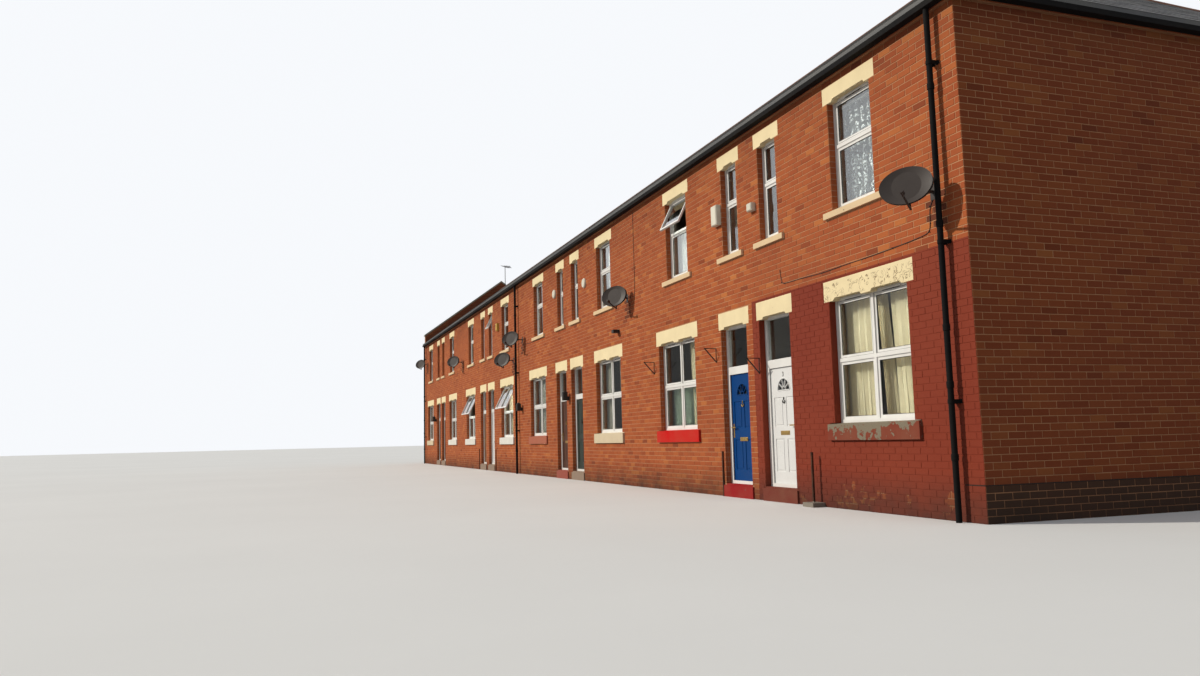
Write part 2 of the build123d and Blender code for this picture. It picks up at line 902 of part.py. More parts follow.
side_out = near_x + course_reach + gutter_width
with BuildPart() as front_gutter:
    gutter((far_x + wall, side_out), (-gutter_out, -spring))
save(front_gutter, "front_gutter")

with BuildPart() as back_gutter:
    gutter((far_x + wall, side_out), (spring, gutter_out))
save(back_gutter, "back_gutter")

with BuildPart() as side_gutter:
    gutter((near_x + course_reach, side_out), (-spring, spring))
save(side_gutter, "side_gutter")

pipe_reach = course_reach + gutter_width / 2
pipe_spots = [(near_x - inset, -1) for inset in front_pipe_insets]
pipe_spots += [(near_x - inset, 1) for inset in back_pipe_insets]


def at_pipes(reach):
    """Places at each downpipe, this far out from its wall."""
    return Locations(*[(x, side * (depth / 2 + reach)) for x, side in pipe_spots])


with BuildPart() as downpipes:
    with BuildSketch():
        with at_pipes(pipe_reach):
            Circle(pipe_radius)
    extrude(amount=gutter_bottom)
save(downpipes, "downpipes")

# Pipe clips: a strap round the front of the pipe, with its legs on a wall plate
with BuildPart() as pipe_clips:
    strap_inside = pipe_radius + clip_gap
    strap_outside = strap_inside + clip_thickness
    for height in clip_heights:
        with BuildSketch(Plane.XY.offset(height)):
            for radius, mode in ((strap_outside, Mode.ADD), (strap_inside, Mode.SUBTRACT)):
                with at_pipes(pipe_reach):
                    Circle(radius, mode=mode)
                with at_pipes(pipe_reach / 2):
                    Rectangle(2 * radius, pipe_reach, mode=mode)
            with at_pipes(clip_thickness / 2):
                Rectangle(clip_width, clip_thickness)
        extrude(amount=clip_height)
save(pipe_clips, "pipe_clips")

# Back of the row: plain lintels and sills, shut doors and two-light windows
with BuildPart() as back_lintels:
    with BuildSketch(back_face):
        for row in back_openings:
            back_lintel_row(row)
    extrude(amount=wall)
save(back_lintels, "back_lintels")

with BuildPart() as back_sills:
    with BuildSketch(back_face.offset(-sill_reach)):
        for row in back_openings:
            back_sill_row(row)
    extrude(amount=wall + sill_reach)
save(back_sills, "back_sills")

back_windows = []
for row in (back_ground, back_upper):
    transom = row.bottom + (row.top - row.bottom) * back_transom_share
    back_windows.append(Windows(house_xs(row.offset), row.width, row.bottom, row.top, transom, 2))

with BuildPart() as back_window_frames:
    for windows in back_windows:
        window_frames(back_glazing_face, -1, windows)
save(back_window_frames, "back_window_frames")

with BuildPart() as back_window_glass:
    for windows in back_windows:
        window_panes(back_glazing_face, -1, windows)
save(back_window_glass, "back_window_glass")

with BuildPart() as back_doors:
    with BuildSketch(back_glazing_face):
        uprights(house_xs(back_door_offset), back_door_width, step_height, back_door_head)
    extrude(amount=back_leaf_thickness)
save(back_doors, "back_doors")

# Satellite dishes: an oval reflector on a spine, with a feed on an arm under its rim.
# The form is drawn in its own frame: face up along +Z, with its top towards +Y.
with BuildPart() as dish_form:
    rim = dish_width / 2
    bowl_radius = (rim**2 + dish_hollow**2) / (2 * dish_hollow)
    with Locations((0, 0, bowl_radius)):
        Sphere(bowl_radius)
        Sphere(bowl_radius - dish_skin, mode=Mode.SUBTRACT)
    with BuildSketch() as oval:
        Ellipse(rim, dish_height / 2)
    extrude(oval.sketch, amount=2 * dish_hollow, mode=Mode.INTERSECT)
    boss = dish_boss / 2
    block((-boss, boss), (-boss, boss), (-dish_boss_depth, dish_skin / 2))
    half_arm = dish_arm_width / 2
    foot = -dish_height / 2 - dish_arm_drop
    block((-half_arm, half_arm), (foot, 0), (-dish_boss_depth, dish_arm_width - dish_boss_depth))
    with BuildSketch(Plane.YZ.offset(-half_arm)):
        Polygon(
            (foot, -dish_boss_depth),
            (foot + dish_arm_width, -dish_boss_depth),
            (foot + dish_arm_rise + dish_arm_width, dish_arm_length),
            (foot + dish_arm_rise, dish_arm_length),
            align=None,
        )
    extrude(amount=dish_arm_width)
    feed_place = Plane(origin=(0, foot + dish_arm_rise + feed_radius, dish_arm_length))
    with BuildSketch(feed_place):
        Circle(feed_radius)
    extrude(amount=-feed_length)

dish_places = []
for inset, height, off_wall in dish_spots:
    spot = (near_x - inset, front_y - off_wall, height)
    level = Plane(origin=spot, x_dir=(1, 0, 0), z_dir=(0, -1, 0)).location
    turned = level * Location((0, 0, 0), (0, dish_turn, 0))
    dish_places.append(turned * Location((0, 0, 0), (-dish_lift, 0, dish_roll)))

with BuildPart() as satellite_dishes:
    with Locations(*dish_places):
        add(dish_form.part)
save(satellite_dishes, "satellite_dishes")

# Dish brackets: a plate and an arm off the wall, an upright knuckle, and a cradle plate
with BuildPart() as dish_brackets:
    plate_width, plate_height, plate_thickness = bracket_plate
    for place in dish_places:
        knuckle_place = place * Location((0, 0, -dish_boss_depth - bracket_knuckle))
        x, y, z = knuckle_place.position
        half_plate, half_bar, half_knuckle = plate_width / 2, bracket_arm / 2, bracket_knuckle / 2
        plate_z = (z - plate_height / 2, z + plate_height / 2)
        block((x - half_plate, x + half_plate), (front_y - plate_thickness, front_y), plate_z)
        block((x - half_bar, x + half_bar), (y, front_y), (z - half_bar, z + half_bar))
        block(
            (x - half_knuckle, x + half_knuckle),
            (y - half_knuckle, y + half_knuckle),
            (z - bracket_knuckle, z + bracket_knuckle),
        )
    with Locations(*[place * Location((0, 0, -dish_boss_depth)) for place in dish_places]):
        Box(dish_boss, dish_boss, bracket_knuckle, align=(Align.CENTER, Align.CENTER, Align.MAX))
save(dish_brackets, "dish_brackets")

# Alarm boxes and round bells, flat on the wall
with BuildPart() as alarm_boxes:
    for inset, height, width, tall, out in alarm_spots:
        with BuildSketch(front_face):
            upright(near_x - inset, width, height - tall / 2, height + tall / 2)
        extrude(amount=out)
    fronts = alarm_boxes.faces().filter_by(Axis.Y).filter_by(lambda f: f.center().Y < front_y - 1)
    chamfer(fronts.edges(), length=alarm_chamfer)
    with BuildSketch(front_face) as bells:
        with Locations(*[(near_x - inset, height) for inset, height in bell_spots]):
            Circle(bell_radius)
    extrude(bells.sketch, amount=bell_depth)
    rims = alarm_boxes.edges().filter_by(GeomType.CIRCLE).filter_by(
        lambda e: e.center().Y < front_y - 1
    )
    chamfer(rims, length=bell_chamfer)
save(alarm_boxes, "alarm_boxes")

# Iron posts: square bars against the wall, and one on a pad in front of it
with BuildPart() as iron_posts:
    half = post_side / 2
    for inset in post_spots:
        x = near_x - inset
        block((x - half, x + half), (front_y - post_side, front_y), (0, post_height))
    x = near_x - pad_post_spot
    pad_x = (x - pad_width / 2, x + pad_width / 2)
    block(pad_x, (front_y - pad_reach, front_y), (0, pad_height))
    post_y = front_y - pad_reach / 2
    block((x - half, x + half), (post_y - half, post_y + half), (pad_height, post_height))
save(iron_posts, "iron_posts")

# Bracket arms for hanging baskets: an upright, an arm and a brace, bent from flat bar
with BuildPart() as basket_brackets:
    for inset, height in basket_spots:
        side_on = Plane(
            origin=(near_x - inset - basket_bar / 2, front_y, height),
            x_dir=(0, -1, 0),
            z_dir=(-1, 0, 0),
        )
        with BuildSketch(side_on):
            with BuildLine():
                Polyline((0, 0), (0, basket_rise), (basket_reach, basket_rise), close=True)
            make_face()
            with BuildLine():
                inner = (basket_reach - 3 * basket_bar, basket_rise - basket_bar)
                lower = (basket_bar, 3 * basket_bar)
                Polyline(lower, (basket_bar, basket_rise - basket_bar), inner, close=True)
            make_face(mode=Mode.SUBTRACT)
        extrude(amount=basket_bar)
save(basket_brackets, "basket_brackets")

# Wall lamps: lanterns on short arms, and one flood lamp over a window
with BuildPart() as wall_lamps:
    for inset, height in lantern_spots:
        x = near_x - inset
        middle_y = front_y - lantern_arm - lantern_side / 2
        low = height - lantern_height / 2
        half = lantern_side / 2
        block((x - half, x + half), (middle_y - half, middle_y + half), (low, low + lantern_height))
        with BuildSketch(Plane(origin=(x, middle_y, low + lantern_height))):
            Rectangle(lantern_side, lantern_side)
        extrude(amount=lantern_roof, taper=lantern_roof_taper)
        arm_top = low + lantern_height / 2
        block((x - half / 2, x + half / 2), (front_y - lantern_arm, front_y), (low, arm_top))
    inset, height = lamp_spot
    x = near_x - inset
    half = lamp_side / 2
    block((x - half, x + half), (front_y - lamp_reach, front_y), (height, height + lamp_height))
save(wall_lamps, "wall_lamps")

# Aerial: a mast clamped to the raised party wall, with a slanting boom of elements
with BuildPart() as roof_aerial:
    mast_foot = ridge_bottom + slate_rise
    mast_x = far_x + wall + mast_off_wall
    with BuildSketch(Plane(origin=(mast_x, mast_off_ridge, mast_foot))):
        Circle(mast_radius)
    extrude(amount=mast_height)
    clamp_y = (mast_off_ridge - mast_radius, mast_off_ridge + mast_radius)
    clamp_z = (mast_foot + mast_radius, mast_foot + 5 * mast_radius)
    block((far_x + wall, mast_x), clamp_y, clamp_z)
    boom_top = Plane(
        origin=(mast_x, mast_off_ridge, mast_foot + mast_height),
        x_dir=(0, 1, 0),
        z_dir=(cos(radians(boom_fall)), 0, -sin(radians(boom_fall))),
    )
    with BuildSketch(boom_top):
        Rectangle(boom_side, boom_side)
    extrude(amount=boom_length)
    first, last = element_lengths
    for index in range(element_count):
        along = boom_side + index * (boom_length - 2 * boom_side) / (element_count - 1)
        length = first + (last - first) * index / (element_count - 1)
        with BuildSketch(boom_top.offset(along)):
            Rectangle(length, element_side)
        extrude(amount=element_side)
save(roof_aerial, "roof_aerial")
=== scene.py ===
"""Looks of the terraced house row: brickwork, slates, paint, glass, curtains and fittings."""

from math import cos, pi, radians, sin

import bpy
import numpy as np
from mathutils import Matrix, Vector


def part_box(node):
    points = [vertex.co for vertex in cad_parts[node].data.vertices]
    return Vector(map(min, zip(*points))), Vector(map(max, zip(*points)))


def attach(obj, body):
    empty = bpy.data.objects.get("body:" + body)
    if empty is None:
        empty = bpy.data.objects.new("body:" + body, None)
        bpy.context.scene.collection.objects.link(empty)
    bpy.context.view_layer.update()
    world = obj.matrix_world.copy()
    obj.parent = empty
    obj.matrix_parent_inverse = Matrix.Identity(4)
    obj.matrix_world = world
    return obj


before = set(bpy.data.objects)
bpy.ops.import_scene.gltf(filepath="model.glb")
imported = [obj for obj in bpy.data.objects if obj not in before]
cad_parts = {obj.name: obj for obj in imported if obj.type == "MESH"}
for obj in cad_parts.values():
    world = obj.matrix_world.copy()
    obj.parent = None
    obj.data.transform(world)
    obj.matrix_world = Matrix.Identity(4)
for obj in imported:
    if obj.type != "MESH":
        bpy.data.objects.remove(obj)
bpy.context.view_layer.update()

# Weathering shared by the finishes: broad stains and fine grain as two masks.
# Both come from noise in the object's own coordinates, at real sizes.


def add_node(tree, kind, inputs=None, **settings):
    """Adds a shader node, with its settings, input values and input links."""
    node = tree.nodes.new(kind)
    for name, value in settings.items():
        setattr(node, name, value)
    for name, value in (inputs or {}).items():
        if isinstance(value, bpy.types.NodeSocket):
            tree.links.new(value, node.inputs[name])
        else:
            node.inputs[name].default_value = value
    return node


def maths(tree, operation, *values):
    """One maths step on numbers and sockets."""
    inputs = dict(enumerate(values))
    return add_node(tree, "ShaderNodeMath", inputs, operation=operation).outputs[0]


def map_range(tree, value, start, end, low=0.0, high=1.0):
    """Maps a value from start..end to low..high, held at both ends."""
    inputs = {"Value": value, "From Min": start, "From Max": end, "To Min": low, "To Max": high}
    return add_node(tree, "ShaderNodeMapRange", inputs).outputs[0]


def noise(tree, place, scale, detail, roughness=0.5, distortion=0.0):
    """Noise from 0 to 1, with its middle at a half."""
    inputs = {"Vector": place, "Scale": scale, "Detail": detail}
    inputs.update({"Roughness": roughness, "Distortion": distortion})
    return add_node(tree, "ShaderNodeTexNoise", inputs).outputs["Fac"]


def object_place(tree):
    """The object's own coordinates: the vector, and X, Y and Z apart."""
    place = add_node(tree, "ShaderNodeTexCoord").outputs["Object"]
    return place, add_node(tree, "ShaderNodeSeparateXYZ", {0: place}).outputs


def new_group(name, inputs, outputs):
    """Starts a node group of plain numbers: returns it with its input and output nodes."""
    tree = bpy.data.node_groups.new(name, "ShaderNodeTree")
    for side, sockets in (("INPUT", inputs), ("OUTPUT", outputs)):
        for socket in sockets:
            tree.interface.new_socket(name=socket, in_out=side, socket_type="NodeSocketFloat")
    return tree, tree.nodes.new("NodeGroupInput"), tree.nodes.new("NodeGroupOutput")


weathering, enter, leave = new_group(
    "weathering", ("Stain size", "Grain size"), ("Stain", "Grain")
)
place, apart = object_place(weathering)
for size, result, contrast in (("Stain size", "Stain", 0.22), ("Grain size", "Grain", 0.3)):
    scale = maths(weathering, "DIVIDE", 1.0, enter.outputs[size])
    patches = noise(weathering, place, scale, 6, 0.6)
    spread = map_range(weathering, patches, 0.5 - contrast, 0.5 + contrast)
    weathering.links.new(spread, leave.inputs[result])


def weather_marks(tree, stain_size, grain_size):
    """Stains and grain of given sizes in metres, as two masks."""
    sizes = {"Stain size": stain_size, "Grain size": grain_size}
    marks = add_node(tree, "ShaderNodeGroup", sizes, node_tree=weathering).outputs
    return marks["Stain"], marks["Grain"]


# Brick walls: pressed red bricks in stretcher bond with pale mortar, 72 courses
# from the ground to the two oversailing ones. The walls' solids show as the mortar
# bed behind the bricks, as bricks in the reveals and as plaster indoors.


def solid_boxes(*node_names):
    """The left, right, bottom and top of each solid in some nodes, seen from the front."""
    boxes = []
    for node_name in node_names:
        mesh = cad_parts[node_name].data
        points = np.empty(len(mesh.vertices) * 3)
        mesh.vertices.foreach_get("co", points)
        points = points.reshape(-1, 3)
        parent = np.arange(len(points))
        first_at = {}
        for index, point in enumerate(np.round(points, 5)):
            parent[index] = first_at.setdefault(tuple(point), index)

        def root(index):
            while parent[index] != index:
                parent[index] = parent[parent[index]]
                index = parent[index]
            return index

        for edge in mesh.edges:
            low, high = root(edge.vertices[0]), root(edge.vertices[1])
            if low != high:
                parent[high] = low
        roots = np.array([root(index) for index in range(len(points))])
        for label in np.unique(roots):
            solid = points[roots == label]
            low, high = solid.min(0), solid.max(0)
            boxes.append((low[0], high[0], low[2], high[2]))
    return boxes


front_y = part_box("front_wall_panels")[0][1]
back_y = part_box("back_walls")[1][1]
near_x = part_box("front_wall_panels")[1][0]
far_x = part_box("far_gable_wall")[0][0]
near_gable_low, near_gable_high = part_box("near_gable_wall")
wall_top = near_gable_high[2]
wall_thickness = near_gable_high[0] - near_gable_low[0]
houses = 8
house_width = (near_x - far_x) / houses
courses = 72
course = wall_top / courses
joint = 0.008
brick_length = 0.235
brick_proud = 0.004
brick_chamfer = 0.003
least_brick = 0.018
front_faces, back_faces, near_faces, far_faces = (0, -1), (0, 1), (1, 0), (-1, 0)
dish_plates = [((left + right) / 2, low) for left, right, low, top in solid_boxes("dish_brackets")]


def outside_hole(brick, hole):
    """What a hole leaves of a brick: the parts beside it, under it and over it."""
    a, b, low, high = brick
    left, right, bottom, top = hole
    if left >= b or right <= a or bottom >= high or top <= low:
        return [brick]
    gap = joint / 2
    inner_a, inner_b = max(a, left), min(b, right)
    beside = [(a, left - gap, low, high), (right + gap, b, low, high)]
    return beside + [(inner_a, inner_b, low, bottom - gap), (inner_a, inner_b, top + gap, high)]


def brick_faces(start, end, holes=(), base=0.0, rows=courses, height=course, reach=None):
    """Rectangles of a wall's bricks in stretcher bond, cut back at its holes."""
    bricks = []
    for row in range(rows):
        low = base + row * height + joint / 2
        high = low + height - joint
        half = reach(high) if reach else end - start
        near = [hole for hole in holes if hole[2] < high and hole[3] > low]
        first = start + (row % 2) * brick_length / 2 - brick_length + joint / 2
        for index in range(int((end - start) / brick_length) + 2):
            a = first + index * brick_length
            b = a + brick_length - joint
            parts = [(max(a, start, -half), min(b, end, half), low, high)]
            for hole in near:
                parts = [left for part in parts for left in outside_hole(part, hole)]
            bricks += [p for p in parts if min(p[1] - p[0], p[3] - p[2]) > least_brick]
    return bricks


def onto_wall(points, facing, distance):
    """Puts (along, out, up) points on a wall that faces X or Y, so far from the middle."""
    along, out, up = points.T
    x, y = facing
    out = distance + out
    return np.stack([x * out - y * along, y * out + x * along, up], 1)


def bands_under_brackets(middles):
    """How dark each brick is in a band under each dish bracket on the front: 0.75 there, else 0.
    """
    under_bracket_band = np.zeros(len(middles))
    for x, bottom in dish_plates:
        beside = np.abs(middles[:, 0] - x) < 0.14
        below = (middles[:, 2] < bottom + 0.14) & (middles[:, 2] > bottom - 0.36)
        under_bracket_band[beside & below & (middles[:, 1] < front_y + 0.01)] = 0.75
    return under_bracket_band


def place_object(name, data):
    """Puts an object into the scene."""
    placed = bpy.data.objects.new(name, data)
    bpy.context.scene.collection.objects.link(placed)
    return placed


def new_piece(name, points, faces, material, body="row_body", slot=None, smooth=False):
    """Makes a mesh piece that rides on a body and takes a finish."""
    mesh = bpy.data.meshes.new(name)
    mesh.from_pydata([tuple(p) for p in points], [], [tuple(f) for f in faces])
    mesh.validate()
    mesh.materials.append(material)
    if smooth:
        mesh.polygons.foreach_set("use_smooth", [True] * len(mesh.polygons))
    piece = place_object(name, mesh)
    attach(piece, body)
    return piece


def repeat_shape(corners, quads):
    """Points and faces of many shapes alike; a corner is three arrays, a value per shape."""
    points = np.stack([np.stack(corner, 1) for corner in corners], 1)
    firsts = len(corners) * np.arange(len(points))
    faces = (np.array(quads)[None] + firsts[:, None, None]).reshape(-1, 4)
    return points.reshape(-1, 3), faces


def mark_faces(piece, label, values, faces_each):
    """Labels a piece's faces with a value per brick or slate."""
    attribute = piece.data.attributes.new(label, "FLOAT", "FACE")
    attribute.data.foreach_set("value", np.repeat(values, faces_each))


def lay_bricks(name, bricks, facing, distance, seed, material):
    """Builds one wall's bricks: each a chamfered face standing proud of the mortar."""
    chance = np.random.default_rng(seed)
    count = len(bricks)
    proud = brick_proud + chance.uniform(-0.0012, 0.001, count)
    lean = chance.uniform(-0.0012, 0.0012, (count, 4))
    a, b, low, high = (np.array(bricks) + lean).T
    corners = []
    for out, inset in ((np.full(count, -0.001), 0.0), (proud, brick_chamfer)):
        left, right, bottom, top = a + inset, b - inset, low + inset, high - inset
        corners += [(left, out, bottom), (right, out, bottom), (right, out, top), (left, out, top)]
    quads = [(4, 5, 6, 7), (0, 1, 5, 4), (1, 2, 6, 5), (2, 3, 7, 6), (3, 0, 4, 7)]
    points, faces = repeat_shape(corners, quads)
    placed = onto_wall(points, facing, distance)
    piece = new_piece(name, placed, faces, material, slot="brick")
    mark_faces(piece, "tone", chance.uniform(0, 1, count), len(quads))
    middles = placed.reshape(count, len(corners), 3).mean(1)
    mark_faces(piece, "under_bracket_band", bands_under_brackets(middles), len(quads))


def product(tree, first, *factors):
    """Multiplies masks and numbers, so that masks hold only where all of them do."""
    for factor in factors:
        first = maths(tree, "MULTIPLY", first, factor)
    return first


# Marks on the walls: the first house's ground storey is painted, with flaked spots near
# the ground, and soot and damp darken walls under the eaves and at the foot.
paint_edge_x = near_x - house_width
paint_top = 3.12
reveal_depth = 0.094
wall_marks, enter, leave = new_group("wall_marks", (), ("Paint", "Damp", "Soot"))
place, apart = object_place(wall_marks)
patches = noise(wall_marks, place, 2.2, 7, 0.65)
flaking = map_range(wall_marks, apart["Z"], 0.05, 0.75, 0.56, 0.74)
paint = product(
    wall_marks,
    maths(wall_marks, "GREATER_THAN", apart["X"], paint_edge_x),
    maths(wall_marks, "LESS_THAN", apart["X"], near_x - 0.0002),
    maths(wall_marks, "LESS_THAN", apart["Y"], front_y + reveal_depth),
    maths(wall_marks, "LESS_THAN", apart["Z"], paint_top),
    maths(wall_marks, "LESS_THAN", patches, flaking),
)
damp = product(wall_marks, map_range(wall_marks, apart["Z"], 0.55, 0.0), patches, 1.3)
soot = product(wall_marks, map_range(wall_marks, apart["Z"], 4.9, 6.1), patches)
for result, mask in (("Paint", paint), ("Damp", damp), ("Soot", soot)):
    wall_marks.links.new(mask, leave.inputs[result])
soot_black = (0.035, 0.028, 0.024)


def face_mark(tree, label):
    """The value that a piece's faces carry under a label."""
    return add_node(tree, "ShaderNodeAttribute", attribute_name=label).outputs["Fac"]


def brick_colours(tree, share=1.0):
    """Brick colours by each brick's tone: few plum ones, mostly red, few orange ones."""
    ramp = add_node(tree, "ShaderNodeValToRGB", {"Fac": face_mark(tree, "tone")})
    stops = ramp.color_ramp.elements
    colours = [
        (0.0, (0.28, 0.068, 0.028)), (0.03, (0.4, 0.095, 0.033)), (0.2, (0.43, 0.105, 0.037)),
        (0.8, (0.49, 0.13, 0.043)), (0.95, (0.53, 0.155, 0.048)), (1.0, (0.6, 0.2, 0.06)),
    ]
    while len(stops) < len(colours):
        stops.new(0.5)
    for stop, (position, colour) in zip(stops, colours):
        stop.position = position
        stop.color = (*(share * value for value in colour), 1)
    return ramp.outputs["Color"]


def mix_colour(tree, mask, low, high):
    """Mixes two colours, each RGB values or a socket, by a mask."""
    mix = add_node(tree, "ShaderNodeMix", {0: mask}, data_type="RGBA")
    for index, colour in ((6, low), (7, high)):
        if isinstance(colour, tuple):
            mix.inputs[index].default_value = (*colour, 1)
        else:
            tree.links.new(colour, mix.inputs[index])
    return mix.outputs[2]


def add_bump(tree, shader, height, distance):
    """Raises a surface by a height socket, in metres."""
    inputs = {"Height": height, "Distance": distance, "Strength": 1.0}
    bump = add_node(tree, "ShaderNodeBump", inputs)
    tree.links.new(bump.outputs[0], shader.inputs["Normal"])


def wall_finish(tree, shader, colour):
    """Lays stains, soot, damp and the first house's paint over a wall colour."""
    stains, grains = weather_marks(tree, 2.4, 0.006)
    marks = add_node(tree, "ShaderNodeGroup", node_tree=wall_marks).outputs
    colour = mix_colour(tree, product(tree, stains, 0.3), colour, (0.2, 0.06, 0.035))
    colour = mix_colour(tree, product(tree, grains, 0.22), colour, (0.14, 0.045, 0.03))
    # Bricks in a band under each dish bracket are darkened.
    colour = mix_colour(tree, face_mark(tree, "under_bracket_band"), colour, (0.09, 0.035, 0.025))
    red = mix_colour(tree, stains, (0.26, 0.05, 0.024), (0.21, 0.034, 0.018))
    red = mix_colour(tree, map_range(tree, grains, 0.72, 0.95), red, (0.34, 0.1, 0.04))
    colour = mix_colour(tree, marks["Paint"], colour, red)
    colour = mix_colour(tree, product(tree, marks["Soot"], 0.5), colour, soot_black)
    colour = mix_colour(tree, marks["Damp"], colour, soot_black)
    tree.links.new(colour, shader.inputs["Base Color"])
    rough = map_range(tree, marks["Paint"], 0.0, 1.0, 0.88, 0.62)
    tree.links.new(rough, shader.inputs["Roughness"])
    shader.inputs["Specular IOR Level"].default_value = 0.08
    add_bump(tree, shader, grains, 0.0012)


def finish_material(name, **values):
    """Starts a material: returns it with its node tree and its Principled shader."""
    material = bpy.data.materials.new(name)
    material.use_nodes = True
    shader = material.node_tree.nodes["Principled BSDF"]
    for socket, value in values.items():
        shader.inputs[socket.replace("_", " ")].default_value = value
    return material, material.node_tree, shader


def dress(material, *node_names):
    """Gives CAD nodes their finish."""
    for node_name in node_names:
        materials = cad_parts[node_name].data.materials
        materials.clear()
        materials.append(material)


brick_material, tree, shader = finish_material("brick_faces")
wall_finish(tree, shader, brick_colours(tree))

# Gable bricks: the front's colours at 0.62 of their strength, a painted shade copied from the near
# gable, which stands in the sun's shadow; darker again below the damp course, where the wall stays
# wet.
shaded_gable_material, tree, shader = finish_material("shaded_gable_brick_faces")
wet_top = 0.4
place, apart = object_place(tree)
under_felt = maths(tree, "LESS_THAN", apart["Z"], wet_top)
# Painted shade: the front's brick colours scaled down to 0.62 for the gables.
shade_darkened_bricks = brick_colours(tree, 0.62)
wall_finish(tree, shader, mix_colour(tree, under_felt, shade_darkened_bricks, (0.07, 0.045, 0.028)))


def either(tree, first, *others):
    """The greatest of some masks, so that any one of them is enough."""
    for other in others:
        first = maths(tree, "MAXIMUM", first, other)
    return first


# The walls' own surface: the mortar bed behind the bricks, flush bricks in the reveals of
# windows and doors, and plaster indoors.
wall_material, tree, shader = finish_material("wall_core")
place, apart = object_place(tree)
along = maths(tree, "ADD", apart["X"], apart["Y"])
flat = add_node(tree, "ShaderNodeCombineXYZ", {0: along, 1: apart["Z"]})
reveal_bricks = {
    "Vector": flat.outputs[0],
    "Color1": (0.4, 0.1, 0.036, 1),
    "Color2": (0.5, 0.135, 0.045, 1),
    "Mortar": (0.5, 0.3, 0.19, 1),
    "Scale": 1.0,
    "Mortar Size": joint / 2,
    "Brick Width": brick_length,
    "Row Height": course,
}
pattern = add_node(tree, "ShaderNodeTexBrick", reveal_bricks)
skin = 0.0005
outside = either(
    tree,
    maths(tree, "GREATER_THAN", apart["X"], near_x - skin),
    maths(tree, "LESS_THAN", apart["X"], far_x + skin),
    maths(tree, "LESS_THAN", apart["Y"], front_y + skin),
    maths(tree, "GREATER_THAN", apart["Y"], back_y - skin),
)
bedded = mix_colour(tree, outside, pattern.outputs["Color"], (0.6, 0.31, 0.16))
indoor_x = near_x - wall_thickness + 0.002
indoor_y = -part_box("upper_window_frames")[1][1] + 0.002
plastered = product(
    tree,
    maths(tree, "LESS_THAN", maths(tree, "ABSOLUTE", apart["X"]), indoor_x),
    maths(tree, "LESS_THAN", maths(tree, "ABSOLUTE", apart["Y"]), indoor_y),
    maths(tree, "LESS_THAN", apart["Z"], wall_top),
)
wall_finish(tree, shader, mix_colour(tree, plastered, bedded, (0.5, 0.47, 0.4)))
dress(
    wall_material, "front_wall_panels", "front_door_piers", "front_wall_over_doors", "back_walls",
    "near_gable_wall", "far_gable_wall", "party_walls", "front_eaves_course", "back_eaves_course",
    "side_eaves_course",
)

front_holes = solid_boxes(
    "ground_window_lintels", "door_lintels", "upper_window_lintels", "ground_window_sills",
    "upper_window_sills", "ground_window_frames", "upper_window_frames", "door_frames",
    "door_steps",
)
back_holes = [
    (-right, -left, bottom, top)
    for left, right, bottom, top in solid_boxes(
        "back_lintels", "back_sills", "back_window_frames", "back_doors"
    )
]
gable_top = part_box("far_gable_wall")[1][2]
coping_low, coping_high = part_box("parapet_coping")
roof_rise = (coping_high[2] - coping_low[2]) / coping_high[1]
eaves_low, eaves_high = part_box("front_eaves_course")
eaves_height = eaves_high[2] - wall_top
oversail = front_y - eaves_low[1]
upstand_depth = 0.3


def gable_reach(height):
    """Half the far gable's width at a height."""
    return (gable_top - height) / roof_rise


def eaves_bricks(name, start, end, facing, distance, seed):
    """Lays the two oversailing courses on one side."""
    bricks = brick_faces(start, end, base=wall_top, rows=2, height=eaves_height / 2)
    lay_bricks(name, bricks, facing, distance + oversail, seed, brick_material)


front_rows = brick_faces(far_x, near_x, front_holes)
back_rows = brick_faces(-near_x, -far_x, back_holes)
near_rows = brick_faces(front_y, back_y)
far_rows = brick_faces(front_y, back_y, rows=int(gable_top / course), reach=gable_reach)
upstand_rows = [
    (a, b, low, high)
    for a, b, low, high in far_rows
    if low > wall_top + eaves_height
    and max(abs(a), abs(b)) > gable_reach(high) - upstand_depth
]
lay_bricks("front_bricks", front_rows, front_faces, -front_y, 1, brick_material)
lay_bricks("back_bricks", back_rows, back_faces, back_y, 2, brick_material)
lay_bricks("near_gable_bricks", near_rows, near_faces, near_x, 3, shaded_gable_material)
lay_bricks("far_gable_bricks", far_rows, far_faces, -far_x, 4, shaded_gable_material)
inner_x = far_x + wall_thickness
lay_bricks("upstand_bricks", upstand_rows, near_faces, inner_x, 5, shaded_gable_material)
corner = near_x + oversail
eaves_bricks("front_eaves_bricks", inner_x, corner, front_faces, -front_y, 6)
eaves_bricks("back_eaves_bricks", -corner, -inner_x, back_faces, back_y, 7)
eaves_bricks("side_eaves_bricks", front_y - oversail, back_y + oversail, near_faces, near_x, 8)

# Damp course: a line of bitumen felt whose edge shows in one joint of the near gable
# and round the corner as far as the downpipe.


def weathered(
    name, clean, dirty, roughness=0.6, grain=0.004, stain=0.9, bump=0.0006, dirt=0.5,
    gloss=0.25, metallic=0.0,
):
    """A painted or plain finish with stains in its colour and grain in its surface."""
    material, tree, shader = finish_material(name, Specular_IOR_Level=gloss, Metallic=metallic)
    stains, grains = weather_marks(tree, stain, grain)
    colour = mix_colour(tree, product(tree, stains, dirt), clean, dirty)
    tree.links.new(colour, shader.inputs["Base Color"])
    rough = map_range(tree, grains, 0.0, 1.0, roughness - 0.08, roughness + 0.1)
    tree.links.new(rough, shader.inputs["Roughness"])
    add_bump(tree, shader, grains, bump)
    return material


def soften(piece, width):
    """Rounds the edges of a piece."""
    bevel = piece.modifiers.new("edges", "BEVEL")
    bevel.width = width
    bevel.segments = 2


